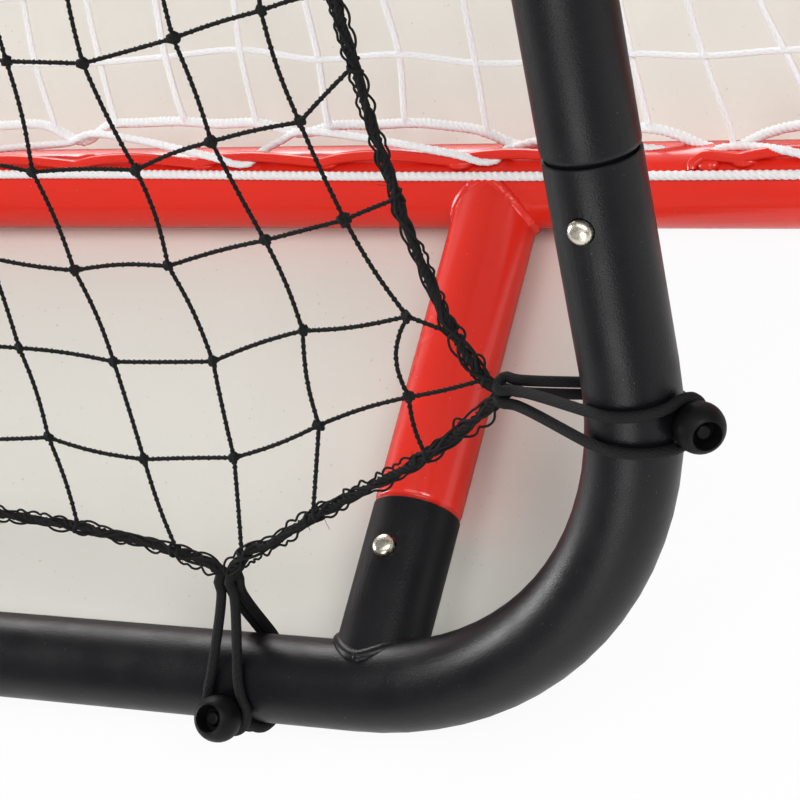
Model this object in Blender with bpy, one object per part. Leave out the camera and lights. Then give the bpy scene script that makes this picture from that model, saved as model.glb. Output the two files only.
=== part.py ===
"""Goal with a leaning rebounder, built from bent steel tube, netting and ball bungees.

A red goal of bent tube stands on its base: a rear base bar, two side frames that turn up into the
posts, and a crossbar. Its white net slopes from the crossbar to the rear base bar. A satin black
frame leans parallel to that slope, in front of it, on four short standoffs. A black knotted net is
stretched in the black frame by ball bungees. Every tube joint is a necked end pushed into an open
end, and a sprung snap button comes through both walls and locks it.

Frame: +Z up, the rebounder faces -Y and the goal mouth faces +Y. The origin lies on the floor
under the middle of the whole object. Metres.
"""

import math

import bmesh
import bpy
from mathutils import Matrix, Vector

# Tube stock
TUBE_OD = 0.0381
TUBE_WALL = 0.0015
TUBE_SIDES = 12
BEND_RADIUS = 0.1524
BEND_STEPS = 5

# Gap between pieces that touch
CLEARANCE = 0.0003

# Necked joints with a snap button
LEG_LENGTH = 0.238
NECK_LENGTH = 0.055
NECK_CLEARANCE = 0.0003
NECK_TAPER = 0.002
SHOULDER_GAP = 0.0006
BUTTON_SETBACK = 0.0235
BUTTON_DIAMETER = 0.0092
BUTTON_HOLE_DIAMETER = 0.0102
BUTTON_HEIGHT = 0.0035
BUTTON_TRAVEL = 0.0053
BUTTON_SIDES = 8
LEAF_WIDTH = 0.008
LEAF_THICKNESS = 0.0008
LEAF_LENGTH = 0.028
LEAF_OVERHANG = 0.007
LEAF_ROOM = 0.0085

# Whole object
GOAL_WIDTH = 1.524
CROSSBAR_HEIGHT = 0.952
LEAN = math.radians(50.0)
REBOUNDER_WIDTH = 1.200
STANDOFF_REACH = 0.242
STANDOFF_INSET = 0.146
STUB_LENGTH = 0.080
STUB_BITE = 0.0006

# Ball bungees
CORD_DIAMETER = 0.0044
BALL_DIAMETER = 0.0202
BALL_HOLE_DIAMETER = 0.0114
BALL_HOLE_DEPTH = 0.0080
BALL_SEGMENTS = 8
RAIL_BUNGEES = 3
SIDE_BUNGEES = 3
RAIL_BUNGEE_INSET = 0.206
SIDE_BUNGEE_INSET = 0.140
RAIL_NET_GAP = 0.050
SIDE_NET_GAP = 0.0565
SIDE_BALL_SLIP = 0.0065
RAIL_BALL_ANGLE = math.radians(6.0)
SIDE_BALL_ANGLE = math.radians(80.0)
RAIL_HOLE_ANGLE = math.radians(-25.0)
SIDE_HOLE_ANGLE = math.radians(44.0)
STRAND_SPACING = 0.0052
WRAP_STEP = math.radians(36.0)
LOOP_LIFT = 1.4

# Black rebounder net
BLACK_NET_THICKNESS = 0.003
BLACK_BORDER = 0.005
BLACK_STRAND = 0.004
BLACK_CELLS_PER_RAIL_BAY = 3
BLACK_CELLS_PER_SIDE_BAY = 4
RAIL_SCALLOP = 0.027
SIDE_SCALLOP = 0.045
SCALLOP_POWER = 0.55
SCALLOP_STEPS = 5
EYE_LENGTH = 0.014
EYE_DEPTH = 0.008

# White goal net
WHITE_NET_THICKNESS = 0.003
WHITE_BORDER = 0.007
WHITE_STRAND = 0.005
WHITE_COLUMNS = 9
WHITE_ROWS = 6
WHITE_SIDE_PITCH = 0.150
WHITE_NET_OFFSET = 0.030
WHITE_CORNER_RISE = 0.110
SMALLEST_GAP_AREA = 0.0004

# Lacing wire, border rope and lacing cord
WIRE_DIAMETER = 0.005
WIRE_PITCH = 0.070
WIRE_WAVE = 0.009
WIRE_ANGLE = math.radians(18.0)
WIRE_END_INSET = 0.152
ROPE_DIAMETER = 0.004
ROPE_ANGLE = math.radians(-13.0)
LACING_DIAMETER = 0.004

TUBE_RADIUS = TUBE_OD / 2
NECK_RADIUS = TUBE_RADIUS - TUBE_WALL - NECK_CLEARANCE
CORNER_RADIUS = TUBE_RADIUS / math.cos(math.pi / TUBE_SIDES)

UP = Vector((0, 0, 1))
RIGHT = Vector((1, 0, 0))
BACK = Vector((0, 1, 0))
SLOPE = Vector((0, math.cos(LEAN), math.sin(LEAN)))
FACING = Vector((0, -math.sin(LEAN), math.cos(LEAN)))

SLOPE_RISE = CROSSBAR_HEIGHT - TUBE_RADIUS
SLOPE_LENGTH = SLOPE_RISE / math.sin(LEAN)
BASE_DEPTH = SLOPE_RISE / math.tan(LEAN)
BALL_REACH = CORNER_RADIUS + CLEARANCE + BALL_DIAMETER / 2
WRAP_RADIUS = (CORNER_RADIUS + CLEARANCE + CORD_DIAMETER / 2) / math.cos(WRAP_STEP / 2)
RAIL_HEIGHT = WRAP_RADIUS + CORD_DIAMETER / 2 + CLEARANCE
FRONT_REACH = BALL_REACH * math.sin(LEAN + RAIL_BALL_ANGLE) + BALL_DIAMETER / 2
TOTAL_DEPTH = FRONT_REACH + STANDOFF_REACH + BASE_DEPTH + TUBE_RADIUS
RAIL_Y = -TOTAL_DEPTH / 2 + FRONT_REACH
REAR_Y = RAIL_Y + STANDOFF_REACH
POST_Y = REAR_Y + BASE_DEPTH

LOWER_RAIL = Vector((0, RAIL_Y, RAIL_HEIGHT))
UPPER_RAIL = LOWER_RAIL + SLOPE * SLOPE_LENGTH
REAR_BAR = Vector((0, REAR_Y, TUBE_RADIUS))
CROSSBAR = Vector((0, POST_Y, CROSSBAR_HEIGHT))

STANDOFF_RUN = REAR_BAR - LOWER_RAIL
STANDOFF_LENGTH = STANDOFF_RUN.length
STANDOFF_BACK = STANDOFF_RUN.normalized()
STANDOFF_UP = RIGHT.cross(STANDOFF_BACK)


def clear_scene():
    """Remove every object that the file opened with."""
    for item in list(bpy.data.objects):
        bpy.data.objects.remove(item, do_unlink=True)


def finish(name, colour, metallic, roughness):
    """Make a Principled material from a colour, a metallic value and a roughness."""
    material = bpy.data.materials.new(name)
    material.use_nodes = True
    shader = material.node_tree.nodes["Principled BSDF"]
    shader.inputs["Base Color"].default_value = (*colour, 1)
    shader.inputs["Metallic"].default_value = metallic
    shader.inputs["Roughness"].default_value = roughness
    return material


def add_object(name, mesh, material):
    """Link a mesh as a named object with its own copy of a material, round faces shaded smooth."""
    mesh.name = name
    mesh.materials.clear()
    mesh.materials.append(material)
    mesh.shade_smooth()
    mesh.set_sharp_from_angle(angle=math.radians(40))
    item = bpy.data.objects.new(name, mesh)
    bpy.context.collection.objects.link(item)
    return item


def mesh_from(points, faces):
    """Make a mesh from points and faces, with its normals facing out."""
    mesh = bpy.data.meshes.new("mesh")
    mesh.from_pydata([tuple(point) for point in points], [], faces)
    shape = bmesh.new()
    shape.from_mesh(mesh)
    bmesh.ops.remove_doubles(shape, verts=shape.verts, dist=1e-6)
    bmesh.ops.recalc_face_normals(shape, faces=shape.faces)
    shape.to_mesh(mesh)
    shape.free()
    return mesh


def combine(first, second, operation):
    """Return the mesh of first and second joined by a Boolean of the given operation."""
    base = bpy.data.objects.new("base", first)
    tool = bpy.data.objects.new("tool", second)
    for item in (base, tool):
        bpy.context.collection.objects.link(item)
    tool.hide_render = True
    tool.display_type = "WIRE"
    modifier = base.modifiers.new("combine", "BOOLEAN")
    modifier.operation = operation
    modifier.solver = "EXACT"
    modifier.object = tool
    result = bpy.data.meshes.new_from_object(base.evaluated_get(bpy.context.evaluated_depsgraph_get()))
    for item in (base, tool):
        bpy.data.objects.remove(item, do_unlink=True)
    return result


def bent_path(corners):
    """Return (point, direction) along straight runs through corners, each corner a round bend."""
    stations = []
    first = (corners[1] - corners[0]).normalized()
    stations.append((corners[0], first))
    for before, corner, after in zip(corners, corners[1:], corners[2:]):
        inward = (corner - before).normalized()
        outward = (after - corner).normalized()
        turn = inward.angle(outward)
        setback = BEND_RADIUS * math.tan(turn / 2)
        centre = corner - inward * setback + (outward - inward * inward.dot(outward)).normalized() * BEND_RADIUS
        radial = corner - inward * setback - centre
        axis = inward.cross(outward).normalized()
        for step in range(BEND_STEPS + 1):
            spin = Matrix.Rotation(turn * step / BEND_STEPS, 3, axis)
            stations.append((centre + spin @ radial, spin @ inward))
    stations.append((corners[-1], (corners[-1] - corners[-2]).normalized()))
    return stations


def with_necks(stations, at_start, at_end):
    """Add the radii of a tube to a path, and neck its start or end down to fit inside a tube."""
    full = (TUBE_RADIUS, TUBE_RADIUS - TUBE_WALL)
    slim = (NECK_RADIUS, NECK_RADIUS - TUBE_WALL)
    result = [(point, direction, *full) for point, direction in stations]
    if at_start:
        point, direction = stations[0]
        result[0:1] = [
            (point, direction, *slim),
            (point + direction * NECK_LENGTH, direction, *slim),
            (point + direction * (NECK_LENGTH + NECK_TAPER), direction, *full),
        ]
    if at_end:
        point, direction = stations[-1]
        result[-1:] = [
            (point - direction * (NECK_LENGTH + NECK_TAPER), direction, *full),
            (point - direction * NECK_LENGTH, direction, *slim),
            (point, direction, *slim),
        ]
    return result


def ring(centre, direction, side_axis, radius):
    """Return a section of a tube: a polygon whose flats lie on the radius."""
    other = direction.cross(side_axis)
    reach = radius / math.cos(math.pi / TUBE_SIDES)
    points = []
    for index in range(TUBE_SIDES):
        angle = 2 * math.pi * (index + 0.5) / TUBE_SIDES
        points.append(centre + (side_axis * math.cos(angle) + other * math.sin(angle)) * reach)
    return points


def tube_mesh(stations, side_axis):
    """Sweep an open-ended tube along stations of (point, direction, outer radius, inner radius)."""
    points = []
    for centre, direction, outer, _ in stations:
        points += ring(centre, direction, side_axis, outer)
    for centre, direction, _, inner in stations:
        points += ring(centre, direction, side_axis, inner)
    count = len(stations)
    inner_start = count * TUBE_SIDES
    faces = []
    for row in range(count - 1):
        for index in range(TUBE_SIDES):
            after = (index + 1) % TUBE_SIDES
            low, high = row * TUBE_SIDES, (row + 1) * TUBE_SIDES
            faces.append((low + index, low + after, high + after, high + index))
            low, high = low + inner_start, high + inner_start
            faces.append((low + after, low + index, high + index, high + after))
    for row in (0, count - 1):
        for index in range(TUBE_SIDES):
            after = (index + 1) % TUBE_SIDES
            low = row * TUBE_SIDES
            faces.append((low + index, low + after, low + inner_start + after, low + inner_start + index))
    return mesh_from(points, faces)


def bar_mesh(start, end, side_axis, radius):
    """Return a solid bar with the section of the tubes."""
    direction = (end - start).normalized()
    points = ring(start, direction, side_axis, radius) + ring(end, direction, side_axis, radius)
    faces = [tuple(range(TUBE_SIDES)), tuple(range(TUBE_SIDES, 2 * TUBE_SIDES))]
    for index in range(TUBE_SIDES):
        after = (index + 1) % TUBE_SIDES
        faces.append((index, after, TUBE_SIDES + after, TUBE_SIDES + index))
    return mesh_from(points, faces)


def turned_mesh(profile, origin, axis, segments):
    """Turn a profile of (radius, height) points about an axis; it starts and ends on the axis."""
    side = axis.orthogonal().normalized()
    other = axis.cross(side)
    points = []
    rings = []
    for radius, height in profile:
        if radius == 0:
            rings.append([len(points)])
            points.append(origin + axis * height)
            continue
        rings.append(list(range(len(points), len(points) + segments)))
        for index in range(segments):
            angle = 2 * math.pi * index / segments
            points.append(origin + axis * height + (side * math.cos(angle) + other * math.sin(angle)) * radius)
    faces = []
    for low, high in zip(rings, rings[1:]):
        for index in range(segments):
            after = (index + 1) % segments
            corners = [low[index % len(low)], low[after % len(low)], high[after % len(high)], high[index % len(high)]]
            faces.append(tuple(dict.fromkeys(corners)))
    return mesh_from(points, faces)


def drill(mesh, axis_point, outward):
    """Cut the snap button's hole through one wall of a tube."""
    start = NECK_RADIUS - 3 * TUBE_WALL
    end = CORNER_RADIUS + TUBE_WALL
    radius = BUTTON_HOLE_DIAMETER / 2
    profile = [(0, start), (radius, start), (radius, end), (0, end)]
    return combine(mesh, turned_mesh(profile, axis_point, outward, BUTTON_SIDES), "DIFFERENCE")


def leaf_mesh(axis_point, outward, along):
    """Return the clip's bent spring strip: it lies along the bore under the hole and folds back."""
    flat_half = LEAF_WIDTH / 2
    step = 2 * math.pi / TUBE_SIDES
    bore = NECK_RADIUS - TUBE_WALL
    facet_half = bore * math.tan(step / 2)
    corner_height = (bore - flat_half * math.sin(step)) / math.cos(step) if flat_half > facet_half else bore
    top = corner_height - CLEARANCE
    low = BUTTON_TRAVEL + LEAF_ROOM - bore
    tip = LEAF_LENGTH - LEAF_OVERHANG
    outline = [
        (-LEAF_OVERHANG, top),
        (tip, top),
        (tip + 2 * LEAF_THICKNESS, top - LEAF_THICKNESS),
        (tip + 2 * LEAF_THICKNESS, top - 3 * LEAF_THICKNESS),
        (-LEAF_OVERHANG, low),
        (-LEAF_OVERHANG, low + 1.2 * LEAF_THICKNESS),
        (tip, top - 2 * LEAF_THICKNESS),
        (tip, top - LEAF_THICKNESS),
        (-LEAF_OVERHANG, top - LEAF_THICKNESS),
    ]
    across = outward.cross(along)
    count = len(outline)
    points = []
    for side in (-flat_half, flat_half):
        points += [axis_point + along * run + outward * height + across * side for run, height in outline]
    faces = [tuple(range(count)), tuple(range(count, 2 * count))]
    for index in range(count):
        after = (index + 1) % count
        faces.append((index, after, count + after, count + index))
    return mesh_from(points, faces), top


def snap_clip(name, axis_point, outward, along, material):
    """Make a snap clip, a domed button on a spring strip, with its origin in the button's hole."""
    leaf, leaf_top = leaf_mesh(axis_point, outward, along)
    radius = BUTTON_DIAMETER / 2
    top = TUBE_RADIUS + BUTTON_HEIGHT
    shoulder = top - 0.45 * radius
    profile = [
        (0, leaf_top - LEAF_THICKNESS / 2),
        (radius, leaf_top - LEAF_THICKNESS / 2),
        (radius, shoulder),
        (0.75 * radius, top - 0.14 * radius),
        (0, top),
    ]
    button = turned_mesh(profile, axis_point, outward, BUTTON_SIDES)
    mesh = combine(leaf, button, "UNION")
    place = axis_point + outward * TUBE_RADIUS
    mesh.transform(Matrix.Translation(-place))
    item = add_object(name, mesh, material)
    item.location = place
    return item


def rail_corners(rail, into):
    """Return the corner points of a rebounder rail whose legs run along the given direction."""
    half = REBOUNDER_WIDTH / 2
    return [
        rail + RIGHT * -half + into * LEG_LENGTH,
        rail + RIGHT * -half,
        rail + RIGHT * half,
        rail + RIGHT * half + into * LEG_LENGTH,
    ]


def rebounder_rail(name, rail, into, stub_direction, material):
    """Make a black rail: a bent tube whose legs are sockets, with two stubs for the standoffs."""
    stations = with_necks(bent_path(rail_corners(rail, into)), False, False)
    mesh = tube_mesh(stations, FACING)
    half = REBOUNDER_WIDTH / 2
    for side in (-1, 1):
        foot = rail + RIGHT * side * (half - STANDOFF_INSET)
        rim = foot + stub_direction * STUB_LENGTH
        stub = tube_mesh(with_necks([(foot, stub_direction), (rim, stub_direction)], False, False), STANDOFF_UP)
        core = bar_mesh(foot - RIGHT * TUBE_OD, foot + RIGHT * TUBE_OD, FACING, TUBE_RADIUS - STUB_BITE)
        stub = combine(stub, core, "DIFFERENCE")
        keep = bar_mesh(
            foot + stub_direction * TUBE_RADIUS / 2,
            rim + stub_direction * TUBE_RADIUS,
            STANDOFF_UP,
            TUBE_OD,
        )
        stub = combine(stub, keep, "INTERSECT")
        mesh = combine(mesh, stub, "UNION")
        mesh = drill(mesh, rim - stub_direction * BUTTON_SETBACK, STANDOFF_UP)
        leg = rail + RIGHT * side * half + into * (LEG_LENGTH - BUTTON_SETBACK)
        mesh = drill(mesh, leg, FACING)
    return add_object(name, mesh, material)


def upright(name, side, material):
    """Make a straight black tube necked at both ends, between the two rails."""
    foot = LOWER_RAIL + RIGHT * side * REBOUNDER_WIDTH / 2
    reach = LEG_LENGTH + SHOULDER_GAP - NECK_LENGTH
    start = foot + SLOPE * reach
    end = foot + SLOPE * (SLOPE_LENGTH - reach)
    mesh = tube_mesh(with_necks([(start, SLOPE), (end, SLOPE)], True, True), FACING)
    for distance in (LEG_LENGTH - BUTTON_SETBACK, SLOPE_LENGTH - LEG_LENGTH + BUTTON_SETBACK):
        mesh = drill(mesh, foot + SLOPE * distance, FACING)
    return add_object(name, mesh, material)


def standoff(name, side, bar, material):
    """Make a red standoff: welded to a goal bar at one end and necked into a stub at the other."""
    seat = bar + RIGHT * side * (REBOUNDER_WIDTH / 2 - STANDOFF_INSET)
    tip = seat - STANDOFF_BACK * (STANDOFF_LENGTH - STUB_LENGTH - SHOULDER_GAP + NECK_LENGTH)
    mesh = tube_mesh(with_necks([(seat, -STANDOFF_BACK), (tip, -STANDOFF_BACK)], False, True), STANDOFF_UP)
    saddle = bar_mesh(seat - RIGHT * TUBE_OD, seat + RIGHT * TUBE_OD, UP, TUBE_RADIUS + CLEARANCE)
    mesh = combine(mesh, saddle, "DIFFERENCE")
    keep = bar_mesh(seat - STANDOFF_BACK * TUBE_RADIUS / 2, tip - STANDOFF_BACK * TUBE_OD, STANDOFF_UP, TUBE_OD)
    mesh = combine(mesh, keep, "INTERSECT")
    mesh = drill(mesh, seat - STANDOFF_BACK * (STANDOFF_LENGTH - STUB_LENGTH + BUTTON_SETBACK), STANDOFF_UP)
    return add_object(name, mesh, material)


def goal_rear_base(material):
    """Make the red rear base bar, whose ends turn forward into sockets."""
    half = GOAL_WIDTH / 2
    corners = [
        REAR_BAR + RIGHT * -half + BACK * LEG_LENGTH,
        REAR_BAR + RIGHT * -half,
        REAR_BAR + RIGHT * half,
        REAR_BAR + RIGHT * half + BACK * LEG_LENGTH,
    ]
    mesh = tube_mesh(with_necks(bent_path(corners), False, False), UP)
    for side in (-1, 1):
        socket = REAR_BAR + RIGHT * side * half + BACK * (LEG_LENGTH - BUTTON_SETBACK)
        mesh = drill(mesh, socket, RIGHT * -side)
    return add_object("goal_rear_base_bar", mesh, material)


def goal_crossbar(material):
    """Make the red crossbar, whose ends turn down into sockets."""
    half = GOAL_WIDTH / 2
    corners = [
        CROSSBAR + RIGHT * -half - UP * LEG_LENGTH,
        CROSSBAR + RIGHT * -half,
        CROSSBAR + RIGHT * half,
        CROSSBAR + RIGHT * half - UP * LEG_LENGTH,
    ]
    mesh = tube_mesh(with_necks(bent_path(corners), False, False), BACK)
    for side in (-1, 1):
        socket = CROSSBAR + RIGHT * side * half - UP * (LEG_LENGTH - BUTTON_SETBACK)
        mesh = drill(mesh, socket, RIGHT * -side)
    return add_object("goal_crossbar", mesh, material)


def goal_side_frame(name, side, material):
    """Make a red side base bar that turns up into a post, necked at both ends."""
    corner = Vector((side * GOAL_WIDTH / 2, POST_Y, TUBE_RADIUS))
    reach = LEG_LENGTH + SHOULDER_GAP - NECK_LENGTH
    start = corner - BACK * (BASE_DEPTH - reach)
    end = corner + UP * (SLOPE_RISE - reach)
    mesh = tube_mesh(with_necks(bent_path([start, corner, end]), True, True), RIGHT)
    mesh = drill(mesh, corner - BACK * (BASE_DEPTH - LEG_LENGTH + BUTTON_SETBACK), RIGHT * -side)
    mesh = drill(mesh, corner + UP * (SLOPE_RISE - LEG_LENGTH + BUTTON_SETBACK), RIGHT * -side)
    return add_object(name, mesh, material)


def place_snap_clips(material):
    """Make the twelve snap clips, one in each necked joint."""
    for word, side in (("left", -1), ("right", 1)):
        offset = RIGHT * side * REBOUNDER_WIDTH / 2
        low = LOWER_RAIL + offset + SLOPE * (LEG_LENGTH - BUTTON_SETBACK)
        high = UPPER_RAIL + offset - SLOPE * (LEG_LENGTH - BUTTON_SETBACK)
        snap_clip(f"snap_clip_upright_lower_{word}", low, FACING, SLOPE, material)
        snap_clip(f"snap_clip_upright_upper_{word}", high, FACING, -SLOPE, material)
        offset = RIGHT * side * (REBOUNDER_WIDTH / 2 - STANDOFF_INSET)
        setback = STUB_LENGTH - BUTTON_SETBACK
        for level, rail in (("lower", LOWER_RAIL), ("upper", UPPER_RAIL)):
            seat = rail + offset + STANDOFF_BACK * setback
            snap_clip(f"snap_clip_standoff_{level}_{word}", seat, STANDOFF_UP, STANDOFF_BACK, material)
        offset = RIGHT * side * GOAL_WIDTH / 2
        base = REAR_BAR + offset + BACK * (LEG_LENGTH - BUTTON_SETBACK)
        post = CROSSBAR + offset - UP * (LEG_LENGTH - BUTTON_SETBACK)
        snap_clip(f"snap_clip_base_{word}", base, RIGHT * -side, BACK, material)
        snap_clip(f"snap_clip_post_{word}", post, RIGHT * -side, -UP, material)


def cord_object(name, points, diameter, resolution, material):
    """Make a cord, wire or rope: a round bevel along a line of points, closed at both ends."""
    curve = bpy.data.curves.new(name, "CURVE")
    curve.dimensions = "3D"
    curve.bevel_depth = diameter / 2
    curve.bevel_resolution = resolution
    curve.use_fill_caps = True
    spline = curve.splines.new("POLY")
    spline.points.add(len(points) - 1)
    for target, point in zip(spline.points, points):
        target.co = (*point, 1)
    curve.materials.append(material)
    item = bpy.data.objects.new(name, curve)
    bpy.context.collection.objects.link(item)
    return item


def ball_mesh(centre, hole_axis):
    """Return a ball with a blind hole, its mouth towards the hole's axis."""
    radius = BALL_DIAMETER / 2
    hole = BALL_HOLE_DIAMETER / 2
    mouth = math.sqrt(radius**2 - hole**2)
    first = math.pi
    last = math.asin(hole / radius)
    profile = [(0, -radius)]
    steps = 6
    for index in range(1, steps + 1):
        angle = first + (last - first) * index / steps
        profile.append((radius * math.sin(angle), radius * math.cos(angle)))
    profile += [(hole, mouth - BALL_HOLE_DEPTH), (0, mouth - BALL_HOLE_DEPTH)]
    return turned_mesh(profile, centre, hole_axis, BALL_SEGMENTS)


def bungee_points(axis_point, tube, facing, attach, ball, ball_angle):
    """Return the cord's route: out of the ball, behind the tube, through the net's edge, over the
    front of the tube, round the ball, and back the same way beside itself."""
    to_net = attach - axis_point
    slip = to_net.dot(tube)
    to_net -= tube * slip
    reach = to_net.length
    inward = to_net.normalized()
    radius = CORD_DIAMETER / 2
    wrap = WRAP_RADIUS
    half_gap = STRAND_SPACING / 2
    loop_half = math.sqrt((BALL_DIAMETER / 2 + CLEARANCE + radius) ** 2 - (BALL_REACH - wrap) ** 2) + 0.001

    def on_tube(shift, angle, distance):
        return axis_point + tube * shift + (facing * math.cos(angle) - inward * math.sin(angle)) * distance

    def at_net(shift, depth, height):
        return axis_point + tube * (slip + shift) + inward * (reach + depth) + facing * height

    tangent = math.acos(wrap / reach)
    rear_end = 1.5 * math.pi - tangent
    front_end = tangent - 0.5 * math.pi
    half = BLACK_BORDER / 2
    eye = (math.hypot(half, BLACK_NET_THICKNESS / 2) + CLEARANCE + radius) / math.cos(math.pi / 6)

    def strand(side):
        shift = side * half_gap
        first = on_tube(shift, ball_angle + WRAP_STEP, wrap)
        beside_ball = ball + tube * shift
        start = beside_ball + (first - beside_ball).normalized() * (BALL_DIAMETER / 2 + CLEARANCE)
        points = [start, first]
        sweep = rear_end - (ball_angle + WRAP_STEP)
        steps = math.ceil(sweep / WRAP_STEP - 0.01)
        for index in range(1, steps + 1):
            share = index / steps
            points.append(on_tube(shift + slip * share * 0.3, ball_angle + WRAP_STEP + sweep * share, wrap))
        for index in (-1, 0, 1):
            angle = index * math.pi / 3
            points.append(at_net(shift, half + eye * math.cos(angle), eye * math.sin(angle)))
        sweep = ball_angle - front_end
        steps = max(1, math.ceil(sweep / WRAP_STEP - 0.01))
        for index in range(steps):
            share = index / steps
            spread = half_gap + (loop_half - half_gap) * (0.5 + 0.5 * share)
            points.append(on_tube(side * spread + slip * 0.3 * (1 - share), front_end + sweep * share, wrap))
        points.append(on_tube(side * loop_half, ball_angle, wrap))
        lift = LOOP_LIFT * CORD_DIAMETER
        turn = loop_half + 0.001
        points.append(on_tube(side * turn * 0.75, ball_angle + 0.62 * turn / wrap, wrap + 0.6 * lift))
        return points

    lift = LOOP_LIFT * CORD_DIAMETER
    crown = on_tube(0, ball_angle + 1.15 * loop_half / (wrap + lift), wrap + lift)
    return strand(-1) + [crown] + strand(1)[::-1]


def upright_axis(side, height):
    """Return the point and the direction of a rebounder side tube's axis at a height on the slope."""
    corner = LOWER_RAIL + RIGHT * side * REBOUNDER_WIDTH / 2
    from_end = min(height, SLOPE_LENGTH - height)
    drop = max(0.0, BEND_RADIUS - from_end)
    inset = BEND_RADIUS - math.sqrt(BEND_RADIUS**2 - drop**2)
    tilt = math.asin(drop / BEND_RADIUS) * (1 if height < SLOPE_LENGTH / 2 else -1)
    direction = SLOPE * math.cos(tilt) + RIGHT * side * math.sin(tilt)
    return corner + SLOPE * height - RIGHT * side * inset, direction


def bungee(name, axis_point, tube, attach, angles, cord_material, ball_material):
    """Make one ball bungee: its cord and its ball."""
    ball_angle, hole_angle = angles
    to_net = attach - axis_point
    inward = (to_net - tube * to_net.dot(tube)).normalized()
    outward = FACING * math.cos(ball_angle) - inward * math.sin(ball_angle)
    ball = axis_point + outward * BALL_REACH
    hole_axis = FACING * math.cos(hole_angle) - inward * math.sin(hole_angle)
    points = bungee_points(axis_point, tube, FACING, attach, ball, ball_angle)
    cord_object(f"bungee_cord_{name}", points, CORD_DIAMETER, 1, cord_material)
    add_object(f"bungee_ball_{name}", ball_mesh(ball, hole_axis), ball_material)


def rail_stations():
    """Return where the bungees sit along a rail, from the middle of the rebounder."""
    half = REBOUNDER_WIDTH / 2 - RAIL_BUNGEE_INSET
    return [-half + 2 * half * index / (RAIL_BUNGEES - 1) for index in range(RAIL_BUNGEES)]


def side_stations():
    """Return where the net is held along a side, as heights on the slope."""
    span = SLOPE_LENGTH - 2 * SIDE_BUNGEE_INSET
    return [SIDE_BUNGEE_INSET + span * index / (SIDE_BUNGEES - 1) for index in range(SIDE_BUNGEES)]


def place_bungees(cord_material, ball_material):
    """Make all the ball bungees round the black net."""
    rail_angles = (RAIL_BALL_ANGLE, RAIL_HOLE_ANGLE)
    side_angles = (SIDE_BALL_ANGLE, SIDE_HOLE_ANGLE)
    for word, rail, inward in (("lower", LOWER_RAIL, SLOPE), ("upper", UPPER_RAIL, -SLOPE)):
        for index, place in enumerate(rail_stations()):
            axis_point = rail + RIGHT * place
            attach = axis_point + inward * RAIL_NET_GAP
            name = f"{word}_{index + 1}"
            bungee(name, axis_point, RIGHT, attach, rail_angles, cord_material, ball_material)
    for word, side in (("left", -1), ("right", 1)):
        for index, height in enumerate(side_stations()):
            slip = SIDE_BALL_SLIP * (-1 if height < SLOPE_LENGTH * 0.4 else 1 if height > SLOPE_LENGTH * 0.6 else 0)
            axis_point, direction = upright_axis(side, height + slip)
            edge = LOWER_RAIL + RIGHT * side * (REBOUNDER_WIDTH / 2 - SIDE_NET_GAP) + SLOPE * height
            name = f"{word}_{index + 1}"
            bungee(name, axis_point, direction, edge, side_angles, cord_material, ball_material)


def slab(outline, origin, across, along, thickness):
    """Return a flat slab: an outline in two axes, given thickness both ways."""
    normal = across.cross(along)
    count = len(outline)
    points = []
    for side in (-thickness / 2, thickness / 2):
        points += [origin + across * u + along * v + normal * side for u, v in outline]
    faces = [tuple(range(count)), tuple(range(count, 2 * count))]
    for index in range(count):
        after = (index + 1) % count
        faces.append((index, after, count + after, count + index))
    return mesh_from(points, faces)


def inset(outline, distance):
    """Return an anticlockwise outline moved inwards by a distance."""
    result = []
    count = len(outline)
    for index in range(count):
        before = Vector(outline[index - 1])
        here = Vector(outline[index])
        after = Vector(outline[(index + 1) % count])
        first = (here - before).normalized()
        second = (after - here).normalized()
        normal = Vector((-first.y - second.y, first.x + second.x)).normalized()
        share = max(0.5, normal.dot(Vector((-first.y, first.x))))
        result.append(tuple(here + normal * distance / share))
    return result


def cells_mesh(across_lines, along_lines, strand, origin, across, along, thickness):
    """Return one block for each gap between strands that lie on the given lines."""
    normal = across.cross(along)
    points = []
    faces = []
    for left, right in zip(across_lines, across_lines[1:]):
        for low, high in zip(along_lines, along_lines[1:]):
            start = len(points)
            for side in (-thickness, thickness):
                for u, v in (
                    (left + strand / 2, low + strand / 2),
                    (right - strand / 2, low + strand / 2),
                    (right - strand / 2, high - strand / 2),
                    (left + strand / 2, high - strand / 2),
                ):
                    points.append(origin + across * u + along * v + normal * side)
            faces += [tuple(start + i for i in (0, 1, 2, 3)), tuple(start + i for i in (4, 5, 6, 7))]
            for index in range(4):
                after = (index + 1) % 4
                faces.append((start + index, start + after, start + 4 + after, start + 4 + index))
    return mesh_from(points, faces)


def drop_slivers(mesh, thickness):
    """Remove the blocks of a cutter whose gaps would be too small to be a mesh of the net."""
    shape = bmesh.new()
    shape.from_mesh(mesh)
    left = set(shape.verts)
    doomed = []
    while left:
        group = set()
        edge_of_group = [left.pop()]
        while edge_of_group:
            vert = edge_of_group.pop()
            group.add(vert)
            for edge in vert.link_edges:
                other = edge.other_vert(vert)
                if other in left:
                    left.discard(other)
                    edge_of_group.append(other)
        faces = {face for vert in group for face in vert.link_faces}
        volume = abs(sum(face.calc_center_median().dot(face.normal) * face.calc_area() / 3 for face in faces))
        if volume / thickness < SMALLEST_GAP_AREA:
            doomed += list(group)
    bmesh.ops.delete(shape, geom=doomed, context="VERTS")
    shape.to_mesh(mesh)
    shape.free()
    return mesh


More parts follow.
